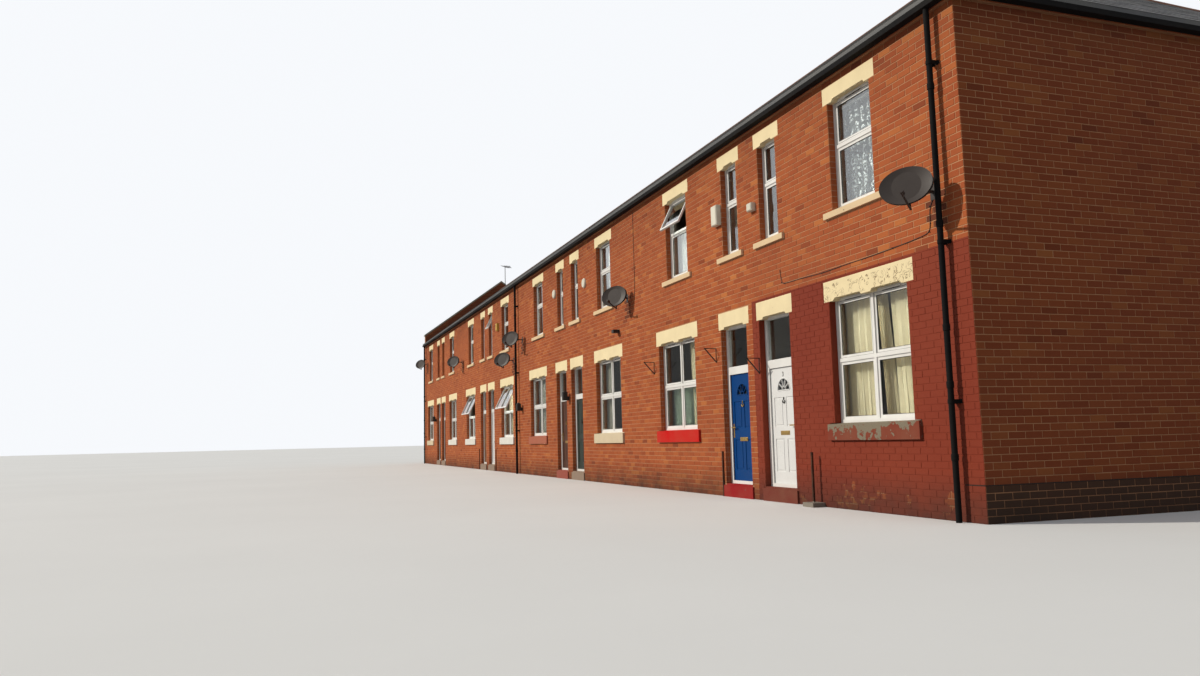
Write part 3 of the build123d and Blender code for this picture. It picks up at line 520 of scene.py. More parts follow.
def box_piece(name, boxes, material, slot=None, edge=None, body="row_body"):
    """Makes a piece of boxes, each given by its lowest and highest corners."""
    quads = ((0, 2, 3, 1), (4, 5, 7, 6), (0, 1, 5, 4), (1, 3, 7, 5), (3, 2, 6, 7), (2, 0, 4, 6))
    points, faces = [], []
    for low, high in boxes:
        faces += [[len(points) + corner for corner in quad] for quad in quads]
        points += [
            (x, y, z)
            for z in (low[2], high[2])
            for y in (low[1], high[1])
            for x in (low[0], high[0])
        ]
    piece = new_piece(name, points, faces, material, body, slot)
    if edge:
        soften(piece, edge)


bitumen = weathered(
    "bitumen", (0.015, 0.013, 0.012), (0.03, 0.025, 0.02), roughness=0.8, grain=0.01, stain=0.3
)
damp_courses, felt_half = 5, 0.005
felt_low, felt_high = damp_courses * course - felt_half, damp_courses * course + felt_half
felt_out = near_x + 0.0055
felt_edges = [
    ((near_x - 0.001, front_y - 0.005, felt_low), (felt_out, back_y, felt_high)),
    ((near_x - 0.3, front_y - 0.0055, felt_low), (felt_out, front_y + 0.001, felt_high)),
]
box_piece("damp_course", felt_edges, bitumen, slot="brick")

# Stone: lintels and upper sills in cream masonry paint, ground sills and steps in
# each house's own paint, coping and the back's dressings in bare stone.


def tint_by_house(tree, x, base, tints):
    """Colours a piece by which house it stands in; tints maps house number to colour."""
    for number, colour in tints.items():
        middle = near_x - house_width * (number + 0.5)
        inside = maths(tree, "COMPARE", x, middle, house_width / 2)
        base = mix_colour(tree, inside, base, colour)
    return base


def first_window(tree, apart):
    """Mask of the first house's ground window and the stone round it."""
    past_door = maths(tree, "GREATER_THAN", apart["X"], near_x - 0.65 * house_width)
    return product(tree, past_door, maths(tree, "LESS_THAN", apart["Z"], 3.3))


def flaked_outlines(tree, flakes, place, apart):
    """Curled edges of flaking paint on the lower two thirds of the first lintel."""
    loops = noise(tree, place, 7.0, 3.5, distortion=1.6)
    band = maths(tree, "COMPARE", loops, 0.55, 0.009)
    curls = maths(tree, "MAXIMUM", band, maths(tree, "GREATER_THAN", flakes, 0.68))
    return product(tree, curls, maths(tree, "LESS_THAN", apart["Z"], 3.035))


def flaked_patch(tree, flakes, place, apart):
    """Paint gone from the upper half of the first sill, most of it in the middle."""
    limit = map_range(tree, apart["Z"], 0.99, 1.12, 0.64, 0.41)
    middle = maths(tree, "COMPARE", apart["X"], 17.65, 0.26)
    limit = maths(tree, "SUBTRACT", limit, product(tree, middle, 0.13))
    return maths(tree, "GREATER_THAN", flakes, limit)


def stone_finish(name, paint, worn, tints=None, flaked=None):
    """Masonry paint, spotted, and flaked in its own way at the first house's window."""
    material, tree, shader = finish_material(name, Roughness=0.8, Specular_IOR_Level=0.1)
    place, apart = object_place(tree)
    stains, grains = weather_marks(tree, 0.5, 0.006)
    colour = tint_by_house(tree, apart["X"], paint, tints or {})
    colour = mix_colour(tree, product(tree, stains, 0.2), colour, (0.3, 0.22, 0.13))
    flakes = noise(tree, place, 11.0, 6, 0.6)
    bare = maths(tree, "GREATER_THAN", flakes, 0.72)
    if flaked:
        here = product(tree, flaked(tree, flakes, place, apart), first_window(tree, apart))
        bare = maths(tree, "MAXIMUM", bare, here)
    worn_tone = mix_colour(tree, grains, worn, tuple(0.55 * value for value in worn))
    tree.links.new(mix_colour(tree, bare, colour, worn_tone), shader.inputs["Base Color"])
    height = maths(tree, "ADD", maths(tree, "SUBTRACT", 1.0, bare), grains)
    add_bump(tree, shader, height, 0.0015)
    return material


cream = (0.94, 0.79, 0.49)
lintel_paint = stone_finish("lintel_paint", cream, (0.34, 0.23, 0.13), flaked=flaked_outlines)
upper_sill_paint = stone_finish("upper_sill_paint", (0.8, 0.6, 0.37), (0.33, 0.23, 0.15))
sill_colours = {
    0: (0.22, 0.042, 0.025), 1: (0.6, 0.004, 0.005), 2: (0.72, 0.6, 0.42), 3: (0.42, 0.13, 0.08),
    7: (0.7, 0.58, 0.4),
}
ground_sill_paint = stone_finish(
    "ground_sill_paint", (0.8, 0.78, 0.72), (0.3, 0.25, 0.18), sill_colours, flaked_patch
)
step_colours = {0: (0.18, 0.035, 0.025), 1: (0.32, 0.006, 0.012), 3: (0.33, 0.08, 0.06)}
step_paint = stone_finish("step_paint", (0.3, 0.22, 0.17), (0.22, 0.18, 0.15), step_colours)
bare_stone = weathered(
    "bare_stone", (0.4, 0.35, 0.27), (0.16, 0.13, 0.1), roughness=0.85, grain=0.008, stain=0.6,
    bump=0.001,
)
dress(lintel_paint, "ground_window_lintels", "door_lintels", "upper_window_lintels")
dress(upper_sill_paint, "upper_window_sills")
dress(ground_sill_paint, "ground_window_sills")
dress(step_paint, "door_steps")
dress(bare_stone, "parapet_coping", "back_lintels", "back_sills")

# Windows: white moulded frames with a little dirt, and clear double glazing. Its clear coat grows
# with height, a painted reflection that makes the upper storey's panes mirror the sky more than
# the lower ones.
white_frame = weathered(
    "white_frame", (0.86, 0.85, 0.82), (0.45, 0.42, 0.37), roughness=0.34, grain=0.05, stain=0.5,
    bump=0.0002, dirt=0.25,
)
dress(
    white_frame, "ground_window_frames", "upper_window_frames", "open_sashes",
    "back_window_frames", "door_frames",
)

glass_clear, tree, shader = finish_material(
    "glass_clear", Base_Color=(0.86, 0.89, 0.88, 1), Transmission_Weight=1.0, IOR=1.5,
    Coat_IOR=1.7, Coat_Roughness=0.01,
)
stains, grains = weather_marks(tree, 0.5, 0.2)
smear = map_range(tree, stains, 0.0, 1.0, 0.0, 0.05)
tree.links.new(smear, shader.inputs["Roughness"])
place, apart = object_place(tree)
# Painted reflection: the coat weight rises from 0.12 at 2.9 m to 0.9 at 3.9 m by height alone.
painted_reflection_by_height = map_range(tree, apart["Z"], 2.9, 3.9, 0.12, 0.9)
tree.links.new(painted_reflection_by_height, shader.inputs["Coat Weight"])
shadow_ray = add_node(tree, "ShaderNodeLightPath").outputs["Is Shadow Ray"]
clear = add_node(tree, "ShaderNodeBsdfTransparent", {"Color": (0.8, 0.86, 0.86, 1)}).outputs[0]
choice = add_node(tree, "ShaderNodeMixShader", {0: shadow_ray, 1: shader.outputs[0], 2: clear})
tree.links.new(choice.outputs[0], tree.nodes["Material Output"].inputs["Surface"])
dress(glass_clear, "window_glass", "open_sash_glass", "fanlight_glass", "back_window_glass")

# Glazing beads and sash joints: black rubber round each pane, and the narrow dark
# gap round each top-hung sash. Trickle vents are white hoods over a slot.
bead_rubber = weathered(
    "bead_rubber", (0.035, 0.035, 0.035), (0.1, 0.095, 0.09), grain=0.02, stain=0.3, bump=0.0002
)
glass_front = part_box("window_glass")[0][1]
frame_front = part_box("upper_window_frames")[0][1]


def ring_boxes(pane, outside, width, low_y, high_y):
    """Four strips round a pane, set out from its edges."""
    left, right, bottom, top = pane
    left, right, bottom, top = left - outside, right + outside, bottom - outside, top + outside
    return [
        ((left, low_y, bottom), (right, high_y, bottom + width)),
        ((left, low_y, top - width), (right, high_y, top)),
        ((left, low_y, bottom + width), (left + width, high_y, top - width)),
        ((right - width, low_y, bottom + width), (right, high_y, top - width)),
    ]


beads, sash_gaps, vent_hoods, vent_slots = [], [], [], []
for pane in solid_boxes("window_glass"):
    left, right, bottom, top = pane
    beads += ring_boxes(pane, 0.0, 0.007, glass_front - 0.006, glass_front - 0.0005)
    top_light = 1.9 < bottom < 3 or bottom > 4.9
    if top_light:
        sash_gaps += ring_boxes(pane, 0.036, 0.003, frame_front - 0.0006, frame_front + 0.001)
    if top_light and right - left > 0.6:
        middle, hood = (left + right) / 2, top + 0.062
        for boxes, half, out, low, high in (
            (vent_hoods, 0.19, 0.014, hood - 0.02, hood),
            (vent_slots, 0.17, 0.01, hood - 0.029, hood - 0.0195),
        ):
            corners = (middle - half, frame_front - out, low), (middle + half, frame_front, high)
            boxes.append(corners)
box_piece("glazing_beads", beads, bead_rubber, slot="black_plastic")
box_piece("sash_gaps", sash_gaps, bead_rubber, slot="black_plastic")
box_piece("vent_hoods", vent_hoods, white_frame, slot="white_upvc", edge=0.004)
box_piece("vent_slots", vent_slots, bead_rubber, slot="black_plastic")

# Curtains and nets: woven cloth gathered on white tracks that are screwed to the
# wall inside, over the window head. The first upstairs window has white lace.
track_back = front_y + wall_thickness
hang_y = track_back + 0.038


def woven_cloth(name, colour, shade, thread=0.0012):
    """Plain woven cloth with fine threads and faint streaks down the drop."""
    material, tree, shader = finish_material(name, Roughness=0.9, Sheen_Weight=0.2)
    place, apart = object_place(tree)
    stains, grains = weather_marks(tree, 0.4, thread * 4)
    threads = {"Vector": place, "Scale": (1 / thread, 1, 1 / thread)}
    warp = add_node(tree, "ShaderNodeMapping", threads).outputs[0]
    weave = add_node(tree, "ShaderNodeTexChecker", {"Vector": warp, "Scale": 1.0})
    faded = mix_colour(tree, product(tree, stains, 0.5), colour, shade)
    tree.links.new(faded, shader.inputs["Base Color"])
    add_bump(tree, shader, weave.outputs["Fac"], 0.0003)
    return material


def hang_curtain(name, cloth, at_top, at_bottom, top, bottom, folds, seed, deep=0.015):
    """Hangs a gathered sheet between two pairs of X places, at its top and at its hem."""
    chance = np.random.default_rng(seed)
    columns, rows = folds * 12 + 1, 15
    along = np.linspace(0, 1, columns)
    drifts = chance.uniform(-0.5, 0.5, folds + 1)
    wander = np.interp(along, np.linspace(0, 1, folds + 1), drifts)
    points = []
    for down in np.linspace(0, 1, rows):
        left = at_top[0] + (at_bottom[0] - at_top[0]) * down
        right = at_top[1] + (at_bottom[1] - at_top[1]) * down
        swell = deep * (0.55 + 0.45 * down)
        for share, drift in zip(along, wander):
            phase = 2 * pi * folds * share + drift * (1.2 + down)
            x = left + (right - left) * (share + 0.15 / folds * sin(2 * phase) * down)
            z = top + (bottom - top) * down + 0.006 * sin(phase) * down
            points.append((x, hang_y + swell * sin(phase), z))
    faces = []
    for row in range(rows - 1):
        for a in range(row * columns, row * columns + columns - 1):
            faces.append((a, a + 1, a + columns + 1, a + columns))
    piece = new_piece(name, points, faces, cloth, smooth=True)


cream_cloth = woven_cloth("cream_cloth", (0.6, 0.5, 0.33), (0.4, 0.32, 0.2))
grey_cloth = woven_cloth("grey_cloth", (0.36, 0.33, 0.27), (0.2, 0.18, 0.14))
white_net = woven_cloth("white_net", (0.62, 0.62, 0.6), (0.42, 0.42, 0.4), 0.002)
lace, tree, shader = finish_material("white_lace", Roughness=0.9)
place, apart = object_place(tree)
sprigs = add_node(tree, "ShaderNodeTexVoronoi", {"Vector": place, "Scale": 26.0})
petals = noise(tree, place, 42.0, 4, 0.6)
figure = maths(tree, "ADD", sprigs.outputs["Distance"], petals)
waves = {"Vector": place, "Scale": 2.4, "Distortion": 1.2, "Detail": 2, "Detail Scale": 3.0}
stripes = add_node(tree, "ShaderNodeTexWave", waves).outputs["Fac"]
trails = product(tree, map_range(tree, figure, 0.9, 1.0, 1.0, 0.0), stripes)
cover = maths(tree, "MULTIPLY_ADD", trails, 0.9, 0.1)
tree.links.new(cover, shader.inputs["Alpha"])
lace_tone = mix_colour(tree, petals, (0.8, 0.82, 0.83), (0.6, 0.62, 0.64))
tree.links.new(lace_tone, shader.inputs["Base Color"])

low_head, low_hem, high_head, high_hem = 2.9, 1.16, 5.64, 4.06
hangings = [
    ("curtain_1_left", cream_cloth, (16.62, 17.5), (16.62, 17.56), low_head, low_hem, 6),
    ("curtain_1_middle", cream_cloth, (17.56, 17.78), (17.66, 17.93), low_head, low_hem, 5),
    ("curtain_1_right", cream_cloth, (17.84, 18.5), (17.95, 18.5), low_head, low_hem, 3),
    ("net_1", lace, (17.1, 17.95), (17.0, 18.06), 5.5, high_hem, 6),
    ("curtain_2_right", cream_cloth, (11.75, 12.5), (11.85, 12.5), low_head, low_hem, 7),
    ("net_2", white_net, (11.36, 12.4), (11.36, 12.4), 4.95, high_hem, 7),
    ("curtain_3_left", grey_cloth, (6.95, 7.55), (6.95, 7.5), low_head, low_hem, 7),
    ("curtain_3_right", grey_cloth, (7.95, 8.8), (8.0, 8.8), low_head, low_hem, 8),
    ("net_3", white_net, (7.15, 8.3), (7.15, 8.3), high_head, high_hem, 7),
    ("curtain_4", grey_cloth, (1.0, 2.8), (1.0, 2.8), low_head, low_hem, 16),
    ("net_4", white_net, (1.5, 2.65), (1.5, 2.65), high_head, high_hem, 7),
    ("curtain_5", cream_cloth, (-2.8, -1.9), (-2.8, -2.0), low_head, low_hem, 8),
    ("net_6", white_net, (-8.8, -7.0), (-8.8, -7.0), 2.0, low_hem, 12),
    ("curtain_6", grey_cloth, (-8.3, -7.15), (-8.3, -7.15), high_head, high_hem, 8),
    ("net_7", white_net, (-12.6, -10.8), (-12.6, -10.8), low_head, low_hem, 12),
    ("net_8", white_net, (-18.6, -16.8), (-18.6, -16.8), low_head, low_hem, 12),
]
tracks = []
for name, cloth, at_top, at_bottom, top, bottom, folds in hangings:
    left, right = min(at_top[0], at_bottom[0]) - 0.03, max(at_top[1], at_bottom[1]) + 0.03
    tracks.append(((left, track_back, top - 0.012), (right, hang_y - 0.012, top + 0.012)))
box_piece("curtain_tracks", tracks, white_frame, slot="white_upvc", edge=0.003)
for seed, hanging in enumerate(hangings):
    hang_curtain(*hanging, seed=seed)

# Slatted blind: pale green metal slats on cords behind the second house's window, with
# a rail at the top that two brackets hold to the wall.
blind_slats = weathered(
    "blind_slats", (0.66, 0.77, 0.64), (0.5, 0.6, 0.49), roughness=0.5, grain=0.02, stain=0.3,
    bump=0.0002,
)
blind_left, blind_right = 10.95, 12.47
slat_count, slat_pitch, slat_half = 34, 0.024, 0.011
slat_points, slat_faces = [], []
for index in range(slat_count):
    height = 1.17 + index * slat_pitch
    start = len(slat_points)
    for out, rise in ((-slat_half, 0.009), (0.0, 0.003), (slat_half, -0.008)):
        slat_points += [(x, hang_y + out, height + rise) for x in (blind_left, blind_right)]
    slat_faces += [(start + k, start + k + 1, start + k + 3, start + k + 2) for k in (0, 2)]
slats = new_piece("blind_slats", slat_points, slat_faces, blind_slats, slot="white_plastic")
slats.modifiers.new("gauge", "SOLIDIFY").thickness = 0.0006
rail_low, rail_high, rail_front = 1.985, 2.012, hang_y + 0.014
rail_and_cords = [
    ((x - 0.0012, hang_y - 0.013, 1.16), (x + 0.0012, hang_y - 0.0105, 2.0))
    for x in (11.25, 11.71, 12.17)
]
for left, right, back in (
    (blind_left, blind_right, hang_y - 0.014),
    (blind_left - 0.016, blind_left, track_back),
    (blind_right, blind_right + 0.016, track_back),
):
    rail_and_cords.append(((left, back, rail_low), (right, rail_front, rail_high)))
box_piece("blind_rail_and_cords", rail_and_cords, blind_slats, slot="white_plastic")

# Front doors: the first a white moulded panel door, the second blue, the others
# painted timber in darker colours.
door_white = weathered(
    "door_white", (0.8, 0.8, 0.79), (0.5, 0.48, 0.45), roughness=0.3, grain=0.05, stain=0.6,
    bump=0.0002, dirt=0.2,
)
door_blue = weathered(
    "door_blue", (0.003, 0.055, 0.22), (0.002, 0.035, 0.13), roughness=0.35, grain=0.03,
    stain=0.6, bump=0.0002, gloss=0.1,
)
timber = {"grain": 0.02, "stain": 0.6, "bump": 0.0003}
door_green = weathered("door_green", (0.03, 0.045, 0.035), (0.02, 0.02, 0.02), 0.4, **timber)
door_brown = weathered("door_brown", (0.09, 0.035, 0.02), (0.04, 0.02, 0.015), 0.4, **timber)
door_oak = weathered("door_oak", (0.25, 0.11, 0.05), (0.12, 0.05, 0.03), 0.42, **timber)
leaf_finishes = [
    door_white, door_blue, door_green, door_brown, door_white, door_oak, door_brown, door_green,
]
for number, finish in enumerate(leaf_finishes, 1):
    dress(finish, f"front_door_{number}")
dress(door_green, "back_doors")

# Fan lights: half-round panes of dark obscured glass in the tops of the first two
# doors, pebbled on their faces.
fan_glass = weathered(
    "fan_glass", (0.012, 0.015, 0.017), (0.03, 0.035, 0.036), roughness=0.25, grain=0.01,
    stain=0.06, gloss=0.35,
)
dress(fan_glass, "door_1_fan_glass", "door_2_fan_glass")

# Door furniture: fan bars over the half-round lights, letter plates, knockers, lever
# handles and a number, in brass, black iron or chrome, screwed to the leaves.
small_marks = {"grain": 0.006, "stain": 0.1}
brass = weathered(
    "brass", (0.55, 0.36, 0.12), (0.3, 0.19, 0.07), 0.35, bump=0.0002, metallic=0.8, **small_marks
)
black_iron = weathered(
    "black_iron", (0.02, 0.02, 0.02), (0.06, 0.045, 0.035), 0.5, bump=0.0003, **small_marks
)
dull_chrome = weathered(
    "dull_chrome", (0.45, 0.45, 0.46), (0.25, 0.24, 0.23), 0.32, bump=0.0002, metallic=0.8,
    **small_marks,
)


def bar_mesh(paths, width, low_y, high_y):
    """Flat bars of one width that follow lines in the wall's plane."""
    points, faces = [], []
    for path in paths:
        line = np.array(path, float)
        run = np.gradient(line, axis=0)
        run /= np.linalg.norm(run, axis=1)[:, None]
        side = np.stack([-run[:, 1], run[:, 0]], 1) * width / 2
        start = len(points)
        for spot, offset in zip(line, side):
            for x, z in (spot + offset, spot - offset):
                points += [(x, low_y, z), (x, high_y, z)]
        end = start + 4 * (len(line) - 1)
        for a in range(start, end, 4):
            b = a + 4
            faces += [(a, a + 2, b + 2, b), (a + 1, b + 1, b + 3, a + 3)]
            faces += [(a, b, b + 1, a + 1), (a + 2, a + 3, b + 3, b + 2)]
        faces += [(start, start + 1, start + 3, start + 2), (end, end + 2, end + 3, end + 1)]
    return points, faces


def arc(x, z, radius, start=0, end=180, steps=16):
    """Points on an arc in the wall's plane."""
    turns = np.radians(np.linspace(start, end, steps + 1))
    return [(x + radius * cos(turn), z + radius * sin(turn)) for turn in turns]


leaf_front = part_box("front_door_1")[0][1]
hub_radius = 0.05
rim_gap = 0.008
for number, finish in ((1, door_white), (2, door_blue)):
    low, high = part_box(f"door_{number}_fan_glass")
    x, z, radius = (low[0] + high[0]) / 2, low[2], (high[0] - low[0]) / 2
    body = f"door_leaf_{number}"
    fan_bars = [arc(x, z, hub_radius)]
    for turn in (radians(36), radians(72), radians(108), radians(144)):
        reach = (hub_radius, radius)
        fan_bars.append([(x + length * cos(turn), z + length * sin(turn)) for length in reach])
    bars = bar_mesh(fan_bars, 0.011, leaf_front - 0.003, low[1] - 0.0005)
    new_piece(f"fan_bars_{number}", *bars, finish, body)
    outer = radius + rim_gap
    rim = arc(x, z, outer) + [(x - outer, z - 0.004), (x + outer, z - 0.004)]
    rim_bars = bar_mesh([rim], 0.014, leaf_front - 0.007, leaf_front + 0.004)
    new_piece(f"fan_rim_{number}", *rim_bars, finish, body)

numeral = bpy.data.curves.new("door_number", "FONT")
numeral.body = "3"
numeral.size = 0.1
numeral.extrude = 0.0015
numeral.align_x = "CENTER"
numeral.materials.append(black_iron)
door_number = place_object("door_number", numeral)
door_middle = sum(corner[0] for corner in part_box("front_door_1")) / 2
door_number.location = (door_middle, leaf_front - 0.0015, 1.885)
door_number.rotation_euler = (radians(90), 0, 0)
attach(door_number, "door_leaf_1")

plate_low, plate_high = 0.97, 1.2
lever_low, lever_high = 1.131, 1.149
plates = [
    (1.03, brass), (0.945, brass), (1.0, black_iron), (0.95, brass), (1.0, dull_chrome),
    (1.0, brass), (0.98, brass), (1.0, dull_chrome),
]
for number, (plate_z, metal) in enumerate(plates, 1):
    low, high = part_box(f"front_door_{number}")
    front = low[1]
    x = (low[0] + high[0]) / 2
    body = f"door_leaf_{number}"
    outward = 1 if number % 2 else -1
    letter = [
        ((x - half, front - out, plate_z - rise), (x + half, front - back, plate_z + rise))
        for half, rise, out, back in ((0.13, 0.032, 0.005, 0.0), (0.11, 0.019, 0.009, 0.004))
    ]
    box_piece(f"letter_plate_{number}", letter, metal, edge=0.0015, body=body)
    lock_x = x + outward * ((high[0] - low[0]) / 2 - 0.055)
    left, right = sorted((lock_x, lock_x - outward * 0.115))
    lever = [
        ((lock_x - 0.018, front - 0.006, plate_low), (lock_x + 0.018, front, plate_high)),
        ((lock_x - 0.009, front - 0.045, lever_low), (lock_x + 0.009, front - 0.004, lever_high)),
        ((left - 0.009, front - 0.052, lever_low), (right + 0.009, front - 0.036, lever_high)),
    ]
    box_piece(f"door_handle_{number}", lever, metal, edge=0.004, body=body)
    z = 1.52 if number < 3 else 1.45
    knock_metal = black_iron if number == 1 else metal
    knocker = [
        arc(x, z - 0.01, 0.03, -200, 20),
        [(x - 0.012, z + 0.035), (x + 0.012, z + 0.035)],
        [(x, z + 0.05), (x, z + 0.005)],
    ]
    knock_bars = bar_mesh(knocker, 0.014, front - 0.014, front)
    soften(new_piece(f"knocker_{number}", *knock_bars, knock_metal, body), 0.003)

back_handles = []
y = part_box("back_doors")[1][1]
for left, right, bottom, top in solid_boxes("back_doors"):
    x = left + 0.09
    back_handles += [
        ((x - 0.018, y - 0.001, plate_low), (x + 0.018, y + 0.006, plate_high)),
        ((x - 0.009, y, lever_low), (x + 0.009, y + 0.045, lever_high)),
        ((x - 0.009, y + 0.036, lever_low), (x + 0.115, y + 0.052, lever_high)),
    ]
box_piece("back_door_handles", back_handles, dull_chrome, edge=0.004)

# Roof: blue-grey slates in courses that break joint by half a slate, on two slopes and
# on the hip at the near end. Each slate lifts a little at its tail.
slate_tone, tree, shader = finish_material("slates", Roughness=0.6)
stains, grains = weather_marks(tree, 1.5, 0.012)
colour = mix_colour(tree, face_mark(tree, "tone"), (0.05, 0.052, 0.06), (0.11, 0.105, 0.11))
colour = mix_colour(tree, product(tree, stains, 0.4), colour, (0.13, 0.12, 0.085))
tree.links.new(colour, shader.inputs["Base Color"])
add_bump(tree, shader, grains, 0.002)
dress(slate_tone, "front_roof_slope", "back_roof_slope", "hip_roof_slope")

slate_width, slate_gauge, slate_gap = 0.305, 0.24, 0.004
pitch_cos, pitch_sin = cos(radians(36)), sin(radians(36))
slope_low, slope_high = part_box("front_roof_slope")
hip_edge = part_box("hip_roof_slope")[1][0]
half_span = -slope_low[1]
eaves_line_z = slope_high[2] - half_span * pitch_sin / pitch_cos


def lay_slates(name, to_roof, ends, seed):
    """Courses of slates up a slope; ends(run) gives a course's ends along the eaves."""
    chance = np.random.default_rng(seed)
    slates = []
    for row in range(int(half_span / pitch_cos / slate_gauge)):
        tail, head = row * slate_gauge, (row + 1) * slate_gauge + 0.02
        left, right = ends(min(head * pitch_cos, half_span))
        first = left - (row % 2) * slate_width / 2
        for index in range(int((right - left) / slate_width) + 2):
            a = max(left, first + index * slate_width)
            b = min(right, first + (index + 1) * slate_width - slate_gap)
            if b - a > 0.02:
                slates.append((a, b, tail + chance.uniform(-0.003, 0.003), head))
    a, b, tail, head = np.array(slates).T
    count = len(slates)
    lift = 0.009 + chance.uniform(-0.001, 0.0015, count)
    flat, slight = np.zeros(count), np.full(count, 0.002)
    corners = [(a, tail, flat), (b, tail, flat), (b, tail, lift), (a, tail, lift)]
    corners += [(b, head, slight), (a, head, slight), (b, head, flat), (a, head, flat)]
    quads = [(0, 1, 2, 3), (3, 2, 4, 5), (1, 6, 4, 2), (0, 3, 5, 7)]
    points, faces = repeat_shape(corners, quads)
    along, up, lift = points.T
    run = up * pitch_cos - lift * pitch_sin
    height = eaves_line_z + up * pitch_sin + lift * pitch_cos
    placed = np.stack([*to_roof(along, run), height], 1)
    piece = new_piece(name, placed, faces, slate_tone, slot="slate")
    mark_faces(piece, "tone", chance.uniform(0, 1, count), len(quads))


# Each slope: where its slates lie, by the place along the eaves and the run up from
# them, and where a course ends at a run.
slopes = {
    "front_slates": (lambda u, run: (u, run - half_span), lambda run: (inner_x, hip_edge - run)),
    "back_slates": (lambda u, run: (-u, half_span - run), lambda run: (run - hip_edge, -inner_x)),
    "hip_slates": (
        lambda u, run: (hip_edge - run, u), lambda run: (run - half_span, half_span - run),
    ),
}
for seed, (name, (to_roof, ends)) in enumerate(slopes.items(), 11):
    lay_slates(name, to_roof, ends, seed)

# Ridge and hip tiles: angled tiles of dark fired clay, bedded in mortar over the
# joints of the slopes.
ridge_clay = weathered(
    "ridge_clay", (0.2, 0.09, 0.06), (0.06, 0.05, 0.045), roughness=0.75, grain=0.01, stain=0.8,
    bump=0.001,
)
dress(ridge_clay, "ridge_tiles", "hip_tiles")

# Fittings on the wall: dishes and their arms in grey painted steel, alarm boxes in
# cream plastic, the yellow one on the fifth house, and brackets and lamps in iron.
dish_grey = weathered(
    "dish_grey", (0.062, 0.05, 0.045), (0.035, 0.028, 0.024), roughness=0.5, grain=0.01,
    stain=0.3, bump=0.0003, gloss=0.2,
)
box_white = weathered(
    "box_white", (0.78, 0.74, 0.62), (0.45, 0.4, 0.3), roughness=0.5, grain=0.02, stain=0.3,
    bump=0.0003,
)
tree = box_white.node_tree
base_colour = tree.nodes["Principled BSDF"].inputs["Base Color"]
place, apart = object_place(tree)
yellow_box = maths(tree, "COMPARE", apart["X"], -3.0, 0.4)
plain_tone = base_colour.links[0].from_socket
tree.links.new(mix_colour(tree, yellow_box, plain_tone, (0.62, 0.4, 0.08)), base_colour)
dress(dish_grey, "satellite_dishes", "dish_brackets", "roof_aerial")
dress(box_white, "alarm_boxes")
dress(black_iron, "basket_brackets", "wall_lamps")

# Iron posts: square bars by the doors, rusting through their old black paint. The post
# by the first door stands in a rough concrete pad.
post_iron, tree, shader = finish_material("post_iron", Roughness=0.85, Specular_IOR_Level=0.15)
stains, grains = weather_marks(tree, 0.12, 0.006)
place, apart = object_place(tree)
at_pad = maths(tree, "COMPARE", apart["X"], 16.4, 0.4)
padded_foot = product(tree, maths(tree, "LESS_THAN", apart["Z"], 0.075), at_pad)
rusted = mix_colour(tree, stains, (0.03, 0.018, 0.014), (0.14, 0.055, 0.03))
concrete = mix_colour(tree, grains, (0.34, 0.3, 0.25), (0.2, 0.17, 0.14))
post_tone = mix_colour(tree, padded_foot, rusted, concrete)
tree.links.new(post_tone, shader.inputs["Base Color"])
add_bump(tree, shader, grains, 0.002)
dress(post_iron, "iron_posts")

# Gutters and downpipes: black plastic, faded and dusty, with a socket on each pipe
# where two lengths meet.
black_plastic = weathered(
    "black_plastic", (0.009, 0.009, 0.01), (0.022, 0.019, 0.016), roughness=0.7, grain=0.03,
    stain=0.5, bump=0.0003, gloss=0.04,
)
dress(black_plastic, "front_gutter", "back_gutter", "side_gutter", "downpipes", "pipe_clips")
pipe_out = 0.096
socket_heights = (0.67, 1.47, 2.11, 3.29, 4.9)
socket_profile = [
    (0.0335, 0.0), (0.041, 0.004), (0.0415, 0.06), (0.0395, 0.075), (0.0335, 0.078),
]


def add_ring(points, faces, x, y, base, profile, sides=20):
    """Adds a ring turned about an upright line from (radius, height) pairs."""
    start = len(points)
    for radius, rise in profile:
        for k in range(sides):
            turn = 2 * pi * k / sides
            points.append((x + radius * cos(turn), y + radius * sin(turn), base + rise))
    for ring in range(len(profile) - 1):
        first = start + ring * sides
        for k in range(sides):
            a, b = first + k, first + (k + 1) % sides
            faces.append((a, b, b + sides, a + sides))


socket_points, socket_faces = [], []
for left, right, bottom, top in solid_boxes("downpipes"):
    x = (left + right) / 2
    on_front = abs(x) > 15 or abs(x) < 5
    y = front_y - pipe_out if on_front else back_y + pipe_out
    for height in socket_heights:
        add_ring(socket_points, socket_faces, x, y, height, socket_profile)
new_piece("pipe_sockets", socket_points, socket_faces, black_plastic, slot="black_plastic")

# Cables: black cable from a dish and along the wall to the rooms that it serves, clipped
# to the bricks. Places are measured from the near corner along the wall, and up.
cable_black = weathered(
    "cable_black", (0.03, 0.026, 0.024), (0.07, 0.05, 0.04), roughness=0.55, grain=0.01,
    stain=0.2, bump=0.0002,
)
cable_radius = 0.0045
cable_out = 0.0095
cable_lines = {
    "dish_cable_1": [
        (0.52, 3.66), (0.585, 3.6), (0.59, 3.4), (0.61, 3.3), (0.75, 3.275), (1.3, 3.25),
        (1.87, 3.238), (2.4, 3.235), (2.87, 3.221), (3.4, 3.243), (3.86, 3.243), (3.95, 3.27),
        (3.98, 3.47),
    ],
    "party_cable": [(9.9, 5.8), (9.902, 5.2), (9.895, 4.5), (9.9, 4.1), (9.93, 3.92)],
    "sill_wire": [(16.9, 3.93), (17.4, 3.9), (17.9, 3.915), (18.4, 3.905), (18.9, 3.93)],
}
cable_clips = []
